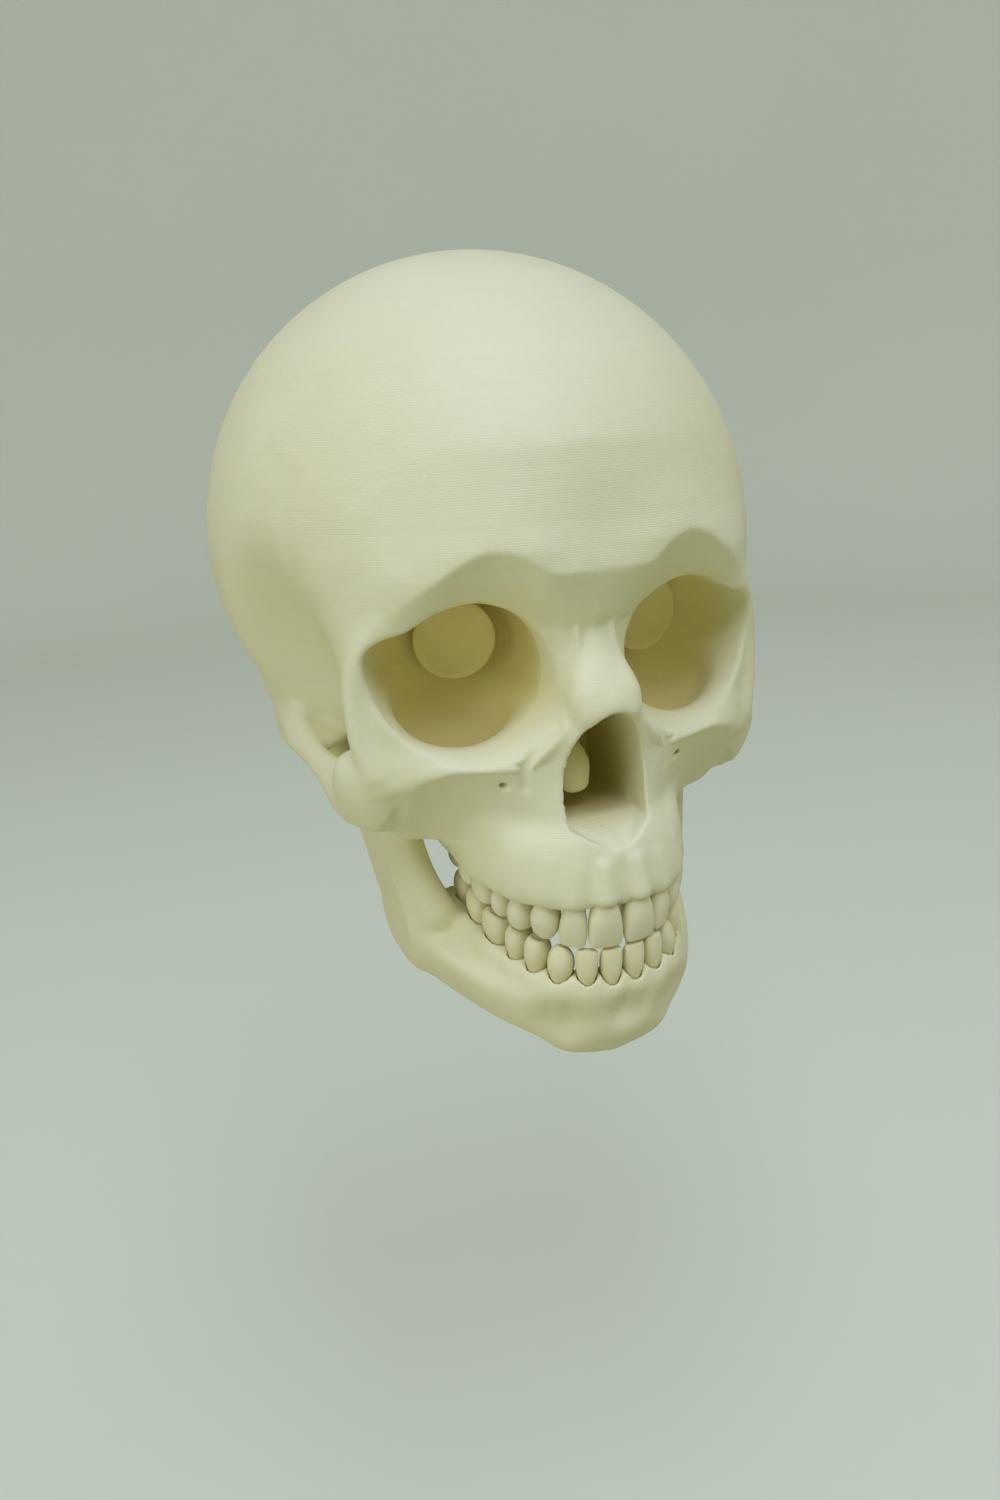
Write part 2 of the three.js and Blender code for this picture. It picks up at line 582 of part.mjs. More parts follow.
/** Where the stand socket stands, and the heights of the faces that it shares with the bone. */
function standFrame() {
  const y = STAND_Y_SHARE * HALF_LENGTH;
  const bossFace = heightOf(BOSS_FACE_Z_SHARE);
  const mouth = bossFace - GAP - SOCKET_FLANGE_THICKNESS;
  return { y, bossFace, mouth, end: mouth + SOCKET_DEPTH };
}

/** The outer radius of the stand socket's cup. */
function socketRadius() {
  return SPIGOT_DIAMETER / 2 + SPIGOT_CLEARANCE + SOCKET_WALL;
}

/** The flanged cup that takes the stand's spigot. */
function standSocket() {
  const { y, mouth, end } = standFrame();
  const bore = SPIGOT_DIAMETER / 2 + SPIGOT_CLEARANCE;
  const flange = SOCKET_FLANGE_DIAMETER / 2;
  const shoulder = mouth + SOCKET_FLANGE_THICKNESS;
  const profile = [
    [bore, mouth], [flange, mouth], [flange, shoulder], [socketRadius(), shoulder],
    [socketRadius(), end + SOCKET_CAP], [0, end + SOCKET_CAP], [0, end], [bore, end], [bore, mouth],
  ];
  let made = solid(turned(profile, SOCKET_SEGMENTS).translate(0, y, 0));
  for (const place of screwPlaces()) made = made.subtract(solid(screw(place, GAP)));
  return geometryOf(made);
}

/** The middles of the screw heads, evenly round the flange. */
function screwPlaces() {
  const { y, mouth } = standFrame();
  const radius = (SOCKET_FLANGE_DIAMETER / 2 + socketRadius()) / 2;
  return Array.from({ length: SCREW_COUNT }, (_, i) => {
    const angle = (i / SCREW_COUNT) * 2 * Math.PI + Math.PI / 2;
    return new THREE.Vector3(radius * Math.cos(angle), y + radius * Math.sin(angle), mouth);
  });
}

/** A countersunk screw with its head flush in the flange, or the hole for it. */
function screw(place, clearance) {
  const [head, shank] = [SCREW_HEAD_DIAMETER / 2 + clearance, SCREW_DIAMETER / 2 + clearance];
  const bottom = clearance ? -OVERRUN : 0;
  const profile = [
    [0, bottom], [head, bottom], ...(clearance ? [[head, 0]] : []), [shank, SCREW_HEAD_HEIGHT + clearance],
    [shank, SCREW_LENGTH + clearance], [0, SCREW_LENGTH + clearance],
  ];
  return turned(profile, SCREW_SEGMENTS).translate(place.x, place.y, place.z);
}

/** The height of a scoop's roof over a place. */
function roofOf(scoop, x, y) {
  const centre = at(scoop.centreShares);
  const size = sizeOf(scoop.sizeShares);
  return centre.z + size.z * Math.sqrt(1 - ((x - centre.x) / size.x) ** 2 - ((y - centre.y) / size.y) ** 2);
}

/** The sideways place of the middle of the jaw's rising branch at a height. */
function ramusMiddle(z) {
  const [low, high] = [heightOf(-1), heightOf(CONDYLE_SHARES[2])];
  return RAMUS_MIDDLE_SHARE * HALF_BREADTH + RAMUS_TILT_SHARE * (z - (low + high) / 2);
}

/** One end of a jaw spring: the middle of its screw eye and the way that the shank points. */
function eyeFrame(upper, side) {
  const reach = EYE_RING_RADIUS + EYE_STANDOFF;
  if (upper) {
    const [x, y] = [UPPER_EYE_SHARES.x * HALF_BREADTH, UPPER_EYE_SHARES.y * HALF_LENGTH];
    const z = roofOf(UNDER_TEMPLE, x, y) - reach;
    return { ring: new THREE.Vector3(side * x, y, z), shank: new THREE.Vector3(0, 0, 1) };
  }
  const z = heightOf(LOWER_EYE_SHARES.z);
  const x = ramusMiddle(z) - RAMUS_THICKNESS / 2 - reach;
  const y = LOWER_EYE_SHARES.y * HALF_LENGTH;
  return { ring: new THREE.Vector3(side * x, y, z), shank: new THREE.Vector3(side, 0, 0) };
}

/** A screw eye: a wire ring across the skull with a shank into the bone. */
function screwEye(upper, side) {
  const { ring, shank } = eyeFrame(upper, side);
  const hoop = new THREE.TorusGeometry(EYE_RING_RADIUS, EYE_WIRE_RADIUS, EYE_WIRE_SEGMENTS, EYE_RING_SEGMENTS)
    .rotateX(Math.PI / 2)
    .translate(ring.x, ring.y, ring.z);
  return geometryOf(solid(hoop).add(solid(eyeShank(ring, shank, 0))));
}

/** The shank of a screw eye, or the hole for it. */
function eyeShank(ring, shank, clearance) {
  const [start, end] = [EYE_RING_RADIUS, EYE_RING_RADIUS + EYE_SHANK_LENGTH + clearance];
  const bottom = clearance ? start + EYE_WIRE_RADIUS : start;
  const rod = cylinder(EYE_WIRE_RADIUS + clearance, bottom, end, 0, 0, EYE_SHANK_SEGMENTS);
  return aimed(rod, ring, shank);
}

/** The middle line of one jaw spring: a hook, a lead-in, the coil, a lead-out and a hook. */
function springLine(side) {
  const grips = [true, false].map((upper) => {
    const { ring } = eyeFrame(upper, side);
    return ring.clone().add(new THREE.Vector3(0, 0, upper ? -EYE_RING_RADIUS : EYE_RING_RADIUS));
  });
  const axis = grips[1].clone().sub(grips[0]);
  const free = axis.length() - 2 * HOOK_RADIUS - SPRING_TURNS * SPRING_PITCH;
  axis.normalize();
  const forward = new THREE.Vector3(0, 1, 0).addScaledVector(axis, -axis.y).normalize();
  const across = new THREE.Vector3().crossVectors(axis, forward);
  const coilStart = HOOK_RADIUS + free / 2;
  const point = (down, out, sideways) =>
    grips[0].clone()
      .addScaledVector(axis, down)
      .addScaledVector(forward, out)
      .addScaledVector(across, sideways);
  const line = [];
  for (let i = 0; i <= HOOK_STEPS; i++) {
    const angle = (i / HOOK_STEPS) * Math.PI;
    line.push(point(-HOOK_RADIUS * Math.sin(angle), -HOOK_RADIUS * Math.cos(angle), 0));
  }
  const steps = SPRING_TURNS * SPRING_STEPS_PER_TURN;
  for (let i = 0; i <= steps; i++) {
    const angle = (i / SPRING_STEPS_PER_TURN) * 2 * Math.PI;
    const down = coilStart + (i / SPRING_STEPS_PER_TURN) * SPRING_PITCH;
    line.push(point(down, SPRING_COIL_RADIUS * Math.cos(angle), SPRING_COIL_RADIUS * Math.sin(angle)));
  }
  const end = coilStart + SPRING_TURNS * SPRING_PITCH + free / 2 + HOOK_RADIUS;
  for (let i = 0; i <= HOOK_STEPS; i++) {
    const angle = (i / HOOK_STEPS) * Math.PI;
    line.push(point(end + HOOK_RADIUS * Math.sin(angle), HOOK_RADIUS * Math.cos(angle), 0));
  }
  return line;
}

/** The least gap between two turns of a wire line, apart from neighbouring stretches. */
function leastGap(line) {
  const apart = SPRING_STEPS_PER_TURN / 2;
  let least = Infinity;
  line.forEach((p, i) =>
    line.slice(i + apart).forEach((q) => (least = Math.min(least, p.distanceTo(q) - 2 * SPRING_WIRE_RADIUS))),
  );
  return least;
}

/** One jaw spring: a wire swept along its line, its rings carried round each bend. */
function jawSpring(side) {
  const line = springLine(side);
  let across = new THREE.Vector3(side, 0, 0);
  const rings = line.map((p, i) => {
    const along = line[Math.min(i + 1, line.length - 1)].clone().sub(line[Math.max(i - 1, 0)]).normalize();
    across = across.clone().addScaledVector(along, -across.dot(along)).normalize();
    const up = new THREE.Vector3().crossVectors(along, across);
    return ringAround(p, across, up, SPRING_WIRE_RADIUS, SPRING_WIRE_RADIUS, SPRING_WIRE_SIDES);
  });
  return loft(rings);
}

/** One of the jaw's heads, grown all round when it is the cut for its hollow. */
function condyle(side, growth) {
  const size = new THREE.Vector3(CONDYLE_HALF_WIDTH, CONDYLE_HALF_DEPTH, CONDYLE_HALF_HEIGHT).addScalar(growth);
  return solid(ellipsoid(flipped(at(CONDYLE_SHARES), side), size));
}

/** The cranium: braincase, face, cheek arches and base, with every hollow and bed cut. */
function cranium(teeth) {
  const front = -HALF_LENGTH - OVERRUN - OVERRUN;
  const { y, bossFace, end } = standFrame();
  const bossRadius = SOCKET_FLANGE_DIAMETER / 2 + BOSS_MARGIN;
  let bone = braincase(0, VAULT_SEGMENTS, VAULT_RINGS).add(stacked(FACE_SECTION_SHARES));
  let room = braincase(VAULT_WALL, CAVITY_SEGMENTS, CAVITY_RINGS).intersect(
    solid(prismAlongX(CAVITY_SIDE_SHARES, -HALF_BREADTH, HALF_BREADTH)),
  );
  for (const scoop of [TEMPLE, UNDER_TEMPLE, THROAT]) {
    bone = bone.subtract(pairOf(scoop));
    room = room.subtract(pairOf(scoop, VAULT_WALL));
  }
  bone = bone
    .add(stacked(NOSE_SECTION_SHARES))
    .add(alveolus(UPPER_TEETH, UPPER_ARCH_SHARES, UPPER_MARGIN_SHARE, true, UPPER_ALVEOLUS))
    .add(pairOf(MASTOID))
    .add(solid(cylinder(bossRadius, bossFace, bossFace + BOSS_HEIGHT, 0, y, SOCKET_SEGMENTS)));
  const [forward, up] = [new THREE.Vector3(0, -1, 0), new THREE.Vector3(0, 0, 1)];
  for (const side of [-1, 1]) {
    bone = bone
      .add(bar(EYE_RIM_SHARES, side, forward))
      .add(bar(CHEEK_ARCH_SHARES, side, up))
      .add(pterygoidPlate(side));
  }
  bone = bone
    .subtract(room)
    .subtract(solid(ellipsoid(at(PALATE.centreShares), sizeOf(PALATE.sizeShares))))
    .subtract(pairOf(FOSSA_MOUTH))
    .subtract(solid(prismAlongY(NOSE_HOLE_SHARES, front, at(THROAT.centreShares).y)))
    .subtract(solid(cylinder(socketRadius() + GAP, bossFace - OVERRUN, end + OVERRUN, 0, y, SOCKET_SEGMENTS)));
  for (const place of screwPlaces()) bone = bone.subtract(solid(screw(place, GAP)));
  for (const side of [-1, 1]) {
    const { ring, shank } = eyeFrame(true, side);
    bone = bone
      .subtract(orbitHollow(side))
      .subtract(condyle(side, JAW_JOINT_GAP))
      .subtract(solid(eyeShank(ring, shank, GAP)));
  }
  for (const { bed } of teeth) bone = bone.subtract(bed);
  return geometryOf(bone);
}

/** The plate that hangs behind the palate on one side. */
function pterygoidPlate(side) {
  const low = at([PTERYGOID.xShares[0], PTERYGOID.yShares[0], PTERYGOID.zShares[0]]);
  const high = at([PTERYGOID.xShares[1], PTERYGOID.yShares[1], PTERYGOID.zShares[1]]);
  const size = high.clone().sub(low);
  const middle = flipped(high.clone().add(low).divideScalar(2), side);
  return solid(new THREE.BoxGeometry(size.x, size.y, size.z).translate(middle.x, middle.y, middle.z));
}

/** The jaw's curved body, through rings from one corner round the chin to the other. */
function jawBody() {
  const right = JAW_BODY_SHARES.slice(1).map((shares) => [-1, shares]);
  const stations = [...right.reverse(), ...JAW_BODY_SHARES.map((shares) => [1, shares])];
  const middles = stations.map(([side, [x, y]]) => new THREE.Vector2(side * x * HALF_BREADTH, y * HALF_LENGTH));
  const rings = stations.map(([, [, , top, bottom, thick, lean]], i) => {
    const next = middles[Math.min(i + 1, middles.length - 1)];
    const along = next.clone().sub(middles[Math.max(i - 1, 0)]).normalize();
    const outward = new THREE.Vector3(along.y, -along.x, 0);
    const [high, low] = [heightOf(top), heightOf(bottom)];
    const centre = new THREE.Vector3(middles[i].x, middles[i].y, (high + low) / 2);
    const up = new THREE.Vector3(0, 0, 1).addScaledVector(outward, (2 * lean * HALF_BREADTH) / (high - low));
    const [halfThick, halfTall] = [thick * HALF_BREADTH, (high - low) / 2];
    return ringAround(centre, outward, up, halfThick, halfTall, JAW_RING_POINTS, JAW_SQUARENESS);
  });
  return solid(loft(rings));
}

/** One rising branch of the jaw, tilted outwards to the top. */
function ramus(side) {
  const half = RAMUS_THICKNESS / 2;
  const plate = prismAlongX(RAMUS_SIDE_SHARES, -half, half, RAMUS_BEVEL);
  const position = plate.attributes.position;
  for (let i = 0; i < position.count; i++) position.setX(i, position.getX(i) + ramusMiddle(position.getZ(i)));
  return solid(mirrored(plate, side));
}

/** The jaw: body, chin, the bone round the teeth, the two rising branches and their heads. */
function mandible(teeth) {
  const chinSize = sizeOf(CHIN.sizeShares);
  const chin = ellipsoid(at(CHIN.centreShares), chinSize, SMALL_SCOOP_SEGMENTS, SMALL_SCOOP_RINGS);
  let bone = jawBody()
    .add(alveolus(LOWER_TEETH, LOWER_ARCH_SHARES, LOWER_MARGIN_SHARE, false, LOWER_ALVEOLUS))
    .add(solid(chin));
  for (const side of [-1, 1]) bone = bone.add(ramus(side)).add(condyle(side, 0));
  for (const side of [-1, 1]) {
    const { ring, shank } = eyeFrame(false, side);
    bone = bone.subtract(solid(eyeShank(ring, shank, GAP)));
  }
  for (const { bed } of teeth) bone = bone.subtract(bed);
  return geometryOf(bone);
}

const finishes = {
  bone: new THREE.MeshStandardMaterial({ color: 0xdcd9bf, roughness: 0.62, metalness: 0 }),
  tooth: new THREE.MeshStandardMaterial({ color: 0xdfdabb, roughness: 0.5, metalness: 0 }),
  socket: new THREE.MeshStandardMaterial({ color: 0x1d1b1b, roughness: 0.45, metalness: 0 }),
  steel: new THREE.MeshStandardMaterial({ color: 0xb4b4b0, roughness: 0.3, metalness: 1 }),
};

/** A named mesh of one piece. */
function piece(name, geometry, finish) {
  const mesh = new THREE.Mesh(geometry, finish);
  mesh.name = name;
  return mesh;
}

const upperTeeth = dentition(UPPER_TEETH, UPPER_ARCH_SHARES, true);
const lowerTeeth = dentition(LOWER_TEETH, LOWER_ARCH_SHARES, false);

const jaw = new THREE.Group();
jaw.add(piece("mandible", mandible(lowerTeeth), finishes.bone));
for (const { name, geometry } of lowerTeeth) jaw.add(piece(name, geometry, finishes.tooth));

const skull = new THREE.Group();
skull.add(piece("cranium", cranium(upperTeeth), finishes.bone));
skull.add(piece("stand_socket", standSocket(), finishes.socket));
for (const { name, geometry } of upperTeeth) skull.add(piece(name, geometry, finishes.tooth));
screwPlaces().forEach((place, i) =>
  skull.add(piece("socket_screw_" + (i + 1), screw(place, 0), finishes.steel)),
);
for (const [sideName, side] of [["right", -1], ["left", 1]]) {
  skull.add(piece("orbit_plug_" + sideName, orbitPlug(side), finishes.bone));
  skull.add(piece("upper_screw_eye_" + sideName, screwEye(true, side), finishes.steel));
  skull.add(piece("jaw_spring_" + sideName, jawSpring(side), finishes.steel));
  jaw.add(piece("lower_screw_eye_" + sideName, screwEye(false, side), finishes.steel));
}
console.log("least gap between spring turns, mm:", leastGap(springLine(1)).toFixed(3));

// The bone's own frame is moved so that the blind end of the socket is the origin.
const model = new THREE.Group();
const { y: standY, end: standEnd } = standFrame();
skull.add(jaw);
skull.position.set(0, -standY, -standEnd);
model.add(skull);

export default model;
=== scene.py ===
"""Looks of a life-size printed teaching skull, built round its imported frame.

Bone is shaped as a field of distances on a grid, in millimetres, in the skull's own
frame: +X its left side, -Y the face, +Z up, from the middle of the line between the
ears. Only the left half is worked out, and the right half is its mirror image.
"""

import sys
import logging
import math
from collections.abc import Iterator, Sequence
from dataclasses import dataclass, field
from enum import Enum

import bpy
import numpy as np
from mathutils import Matrix, Vector


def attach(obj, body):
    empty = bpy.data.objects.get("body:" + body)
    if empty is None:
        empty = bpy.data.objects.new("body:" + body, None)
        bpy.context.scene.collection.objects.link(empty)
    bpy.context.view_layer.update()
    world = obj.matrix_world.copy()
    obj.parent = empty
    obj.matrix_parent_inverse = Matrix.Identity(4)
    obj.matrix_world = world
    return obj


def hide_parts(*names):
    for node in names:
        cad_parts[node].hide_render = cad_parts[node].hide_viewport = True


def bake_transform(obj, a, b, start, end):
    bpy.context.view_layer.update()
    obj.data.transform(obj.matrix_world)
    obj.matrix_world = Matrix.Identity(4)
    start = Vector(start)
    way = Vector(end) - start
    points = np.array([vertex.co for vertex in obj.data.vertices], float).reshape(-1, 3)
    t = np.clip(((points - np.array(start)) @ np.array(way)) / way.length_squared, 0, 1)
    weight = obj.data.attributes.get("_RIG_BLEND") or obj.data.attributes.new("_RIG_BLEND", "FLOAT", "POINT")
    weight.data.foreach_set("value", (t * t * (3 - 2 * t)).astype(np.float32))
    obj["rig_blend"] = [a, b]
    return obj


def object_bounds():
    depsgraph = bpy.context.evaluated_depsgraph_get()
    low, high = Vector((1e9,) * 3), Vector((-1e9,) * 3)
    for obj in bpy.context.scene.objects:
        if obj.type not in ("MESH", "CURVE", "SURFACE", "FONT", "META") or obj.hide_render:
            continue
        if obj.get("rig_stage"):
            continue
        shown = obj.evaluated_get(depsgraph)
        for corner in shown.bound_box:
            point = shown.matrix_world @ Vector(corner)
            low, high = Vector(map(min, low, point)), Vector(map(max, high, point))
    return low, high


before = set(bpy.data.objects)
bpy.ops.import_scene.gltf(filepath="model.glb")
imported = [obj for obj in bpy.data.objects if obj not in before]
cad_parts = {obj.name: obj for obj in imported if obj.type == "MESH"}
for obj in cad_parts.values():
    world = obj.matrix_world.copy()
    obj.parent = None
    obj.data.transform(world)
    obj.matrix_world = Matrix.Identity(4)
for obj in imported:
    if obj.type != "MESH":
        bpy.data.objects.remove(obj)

CAD_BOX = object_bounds()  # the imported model's, before anything here is made
log = logging.getLogger("skull")

Grid = np.ndarray
Triple = tuple[float, float, float]
Pair = tuple[float, float]
Quad = tuple[float, float, float, float]
Box = tuple[Grid | Triple, Grid | Triple]
Faces = list[list[int]]
Mesh = tuple[Grid, Faces]
Object = bpy.types.Object
Material = bpy.types.Material
Socket = bpy.types.NodeSocket

EAR_LINE_IN_ROW = np.array([0.0, -11.96, 5.0])  # mm
MILLIMETRE = 0.001
TINY = 1e-6


class Body(Enum):
    """The two rigid bodies of the model."""

    SKULL = "skull"
    JAW = "jaw"


class Slot(Enum):
    """The record's material slots."""

    BONE = "bone"
    TOOTH = "tooth"
    SOCKET = "socket"
    STEEL = "steel"


class Side(Enum):
    """A side of the skull, as the sign of X."""

    RIGHT = -1
    LEFT = 1


# ---------------------------------------------------------------- curves and fields


def through(knots: Sequence[float], rows: Grid, where: Grid) -> Grid:
    """Smooth curves through rows of values, which never overshoot them.

    Args:
        knots: Places of the values, rising.
        rows: Values, with one column for each knot.
        where: Places to read the curves at.

    Returns:
        The curves' values, with one column for each place.
    """
    k, v = np.asarray(knots, float), np.asarray(rows, float)
    gap = np.diff(k)
    rise = np.diff(v, axis=-1) / gap
    first, second = 2 * gap[1:] + gap[:-1], gap[1:] + 2 * gap[:-1]
    same = rise[..., 1:] * rise[..., :-1] > 0
    before = np.where(same, rise[..., :-1], 1)
    after = np.where(same, rise[..., 1:], 1)
    inner = np.where(same, (first + second) / (first / before + second / after), 0)
    slope = np.concatenate([rise[..., :1], inner, rise[..., -1:]], axis=-1)
    at = np.clip(where, k[0], k[-1])
    i = np.clip(np.searchsorted(k, at) - 1, 0, len(k) - 2)
    t = (at - k[i]) / gap[i]
    a, b = v[..., i], v[..., i + 1]
    return (
        a * (1 + 2 * t) * (1 - t) ** 2
        + slope[..., i] * gap[i] * t * (1 - t) ** 2
        + b * t * t * (3 - 2 * t)
        + slope[..., i + 1] * gap[i] * t * t * (t - 1)
    )


def rounded_line(points: Sequence[Sequence[float]], steps: int = 5) -> Grid:
    """Points of a smooth open line through the given ones.

    Args:
        points: The line's points, one in each row.
        steps: The pieces in each stretch.

    Returns:
        The finer line's points.
    """
    p = np.asarray(points, float)
    knots = np.arange(len(p))
    where = np.linspace(0, len(p) - 1, (len(p) - 1) * steps + 1)
    return through(knots, p.T, where).T


def rounded_ring(points: Sequence[Sequence[float]], steps: int = 4) -> Grid:
    """Points of a smooth closed outline through the given ones.

    Args:
        points: The outline's points, in order.
        steps: The pieces in each stretch.

    Returns:
        The finer outline's points.
    """
    p = np.asarray(points, float)
    around = [np.roll(p, -i, axis=0) for i in (-1, 0, 1, 2)]
    out = []
    for t in np.arange(steps) / steps:
        a, b, c, d = around
        out.append(
            0.5
            * (
                2 * b
                + (c - a) * t
                + (2 * a - 5 * b + 4 * c - d) * t**2
                + (3 * b - a - 3 * c + d) * t**3
            )
        )
    return np.stack(out, axis=1).reshape(-1, p.shape[1])


def outline_distance(ring: Grid, u: Grid, v: Grid) -> Grid:
    """The signed distance of places (u, v) from a closed outline, below zero inside it.

    Args:
        ring: The outline's points, in order.
        u: The places' first coordinate.
        v: Their second.

    Returns:
        The distances.
    """
    best = np.full(np.broadcast(u, v).shape, np.inf)
    inside = np.zeros(best.shape, bool)
    for (ax, ay), (bx, by) in zip(ring, np.roll(ring, -1, axis=0)):
        ex, ey = bx - ax, by - ay
        t = np.clip(((u - ax) * ex + (v - ay) * ey) / (ex * ex + ey * ey + 1e-12), 0, 1)
        best = np.minimum(best, (u - ax - ex * t) ** 2 + (v - ay - ey * t) ** 2)
        crosses = (v >= min(ay, by)) & (v < max(ay, by))
        if ey:
            inside ^= crosses & (u < ax + (v - ay) * ex / ey)
    return np.where(inside, -1, 1) * np.sqrt(best)


def fade(reach: Grid, width: float) -> Grid:
    """Rises from 0 to 1 while a reach grows from 0 to a width."""
    return np.clip(reach / width, 0, 1)


def rounded(a: Grid, b: Grid, edge: float) -> Grid:
    """The distance from where two fields, both raised by an edge's radius, are below zero."""
    outside = np.sqrt(np.maximum(a, 0) ** 2 + np.maximum(b, 0) ** 2)
    return np.minimum(np.maximum(a, b), 0) + outside - edge


def squared_round(near: Grid, steep: Grid, n: float, least: float) -> Grid:
    """The distance from a squared-off round.

    Args:
        near: Its own measure, which is 1 on the surface.
        steep: How fast the measure's power rises.
        n: Its squareness; 2 is an ellipse.
        least: The least steepness that is divided by.

    Returns:
        A close estimate of the signed distance near the surface.
    """
    return (near - 1) * np.maximum(near, 0.2) ** (n - 1) / np.maximum(steep, least)


def soft_min(a: Grid, b: Grid, blend: float) -> Grid:
    """The lesser of two fields, melted together where they are within blend of each other.

    Args:
        a: One field.
        b: The other.
        blend: The reach of the melted stretch, or zero for none.

    Returns:
        The joined field.
    """
    if blend <= 0:
        return np.minimum(a, b)
    h = np.maximum(blend - np.abs(a - b), 0) / blend
    return np.minimum(a, b) - h * h * blend * 0.25


def soft_max(a: Grid, b: Grid, blend: float) -> Grid:
    """The greater of two fields, melted together where they are within blend of each other."""
    return -soft_min(-a, -b, blend)


@dataclass(frozen=True)
class Shape:
    """A solid given by its distance field, in the skull's frame, in millimetres."""

    def reach(self) -> Box:
        """The lowest and highest corner of a box round the shape."""
        raise NotImplementedError

    def distance(self, x: Grid, y: Grid, z: Grid) -> Grid:
        """The signed distance from the surface, below zero inside."""
        raise NotImplementedError


@dataclass(frozen=True)
class Ball(Shape):
    """An ellipsoid, turned about X, Y and Z in degrees."""

    centre: Triple
    semi: Triple
    turn: Triple = (0, 0, 0)

    def reach(self) -> Box:
        """A box round it, whichever way it is turned."""
        half = np.maximum(self.semi, max(self.semi) if any(self.turn) else 0)
        return self.centre - half, self.centre + half

    def distance(self, x: Grid, y: Grid, z: Grid) -> Grid:
        """The usual close estimate for an ellipsoid.

        Args:
            x: The places' X.
            y: Their Y.
            z: Their Z.

        Returns:
            The distances.
        """
        p = [x - self.centre[0], y - self.centre[1], z - self.centre[2]]
        if any(self.turn):
            m = [Matrix.Rotation(math.radians(t), 3, a) for t, a in zip(self.turn, "XYZ")]
            back = (m[2] @ m[1] @ m[0]).transposed()
            p = [back[i][0] * p[0] + back[i][1] * p[1] + back[i][2] * p[2] for i in range(3)]
        near = np.sqrt(sum((q / s) ** 2 for q, s in zip(p, self.semi)))
        steep = np.sqrt(sum((q / s**2) ** 2 for q, s in zip(p, self.semi)))
        return near * (near - 1) / np.maximum(steep, TINY)


@dataclass(frozen=True)
class Dome(Shape):
    """The rounded braincase: a ball with another depth below its middle."""

    centre: Triple
    semi: Triple
    below: float
    squareness: float = 2.0

    def reach(self) -> Box:
        """A box round it."""
        low = np.subtract(self.centre, (*self.semi[:2], self.below))
        return low, np.add(self.centre, self.semi)

    def distance(self, x: Grid, y: Grid, z: Grid) -> Grid:
        """A close estimate near the surface.

        Args:
            x: The places' X.
            y: Their Y.
            z: Their Z.

        Returns:
            The distances.
        """
        n = self.squareness
        tall = np.where(z < self.centre[2], self.below, self.semi[2])
        p = [x - self.centre[0], y - self.centre[1], z - self.centre[2]]
        semi = [self.semi[0], self.semi[1], tall]
        near = sum(np.abs(q / s) ** n for q, s in zip(p, semi)) ** (1 / n)
        steep = np.sqrt(sum((np.abs(q / s) ** (n - 1) / s) ** 2 for q, s in zip(p, semi)))
        return squared_round(near, steep, n, TINY)


@dataclass(frozen=True)
class Stroke(Shape):
    """A round bar along a line whose rows are x, y, z and radius, flattened by a stretch."""

    rows: tuple[Quad, ...]
    stretch: Triple = (1, 1, 1)
    steps: int = 3

    def reach(self) -> Box:
        """A box round it.

        Returns:
            Its lowest and its highest corner.
        """
        r = np.asarray(self.rows, float)
        pad = r[:, 3:4] / self.stretch
        return (r[:, :3] - pad).min(0), (r[:, :3] + pad).max(0)

    def distance(self, x: Grid, y: Grid, z: Grid) -> Grid:
        """The least distance from the stretched line's pieces.

        Args:
            x: The places' X.
            y: Their Y.
            z: Their Z.

        Returns:
            The distances.
        """
        rows = np.asarray(self.rows, float)
        if len(rows) > 2:
            rows = rounded_line(rows, self.steps)
        s = self.stretch
        q = [x * s[0], y * s[1], z * s[2]]
        line = rows[:, :3] * np.asarray(s)
        best = None
        for a, b, ra, rb in zip(line, line[1:], rows[:, 3], rows[1:, 3]):
            e = b - a
            t = sum((c - d) * k for c, d, k in zip(q, a, e)) / max(float(e @ e), 1e-9)
            t = np.clip(t, 0, 1)
            gap = np.sqrt(sum((c - d - k * t) ** 2 for c, d, k in zip(q, a, e)))
            one = gap - (ra + (rb - ra) * t)
            best = one if best is None else np.minimum(best, one)
        return best / max(s)


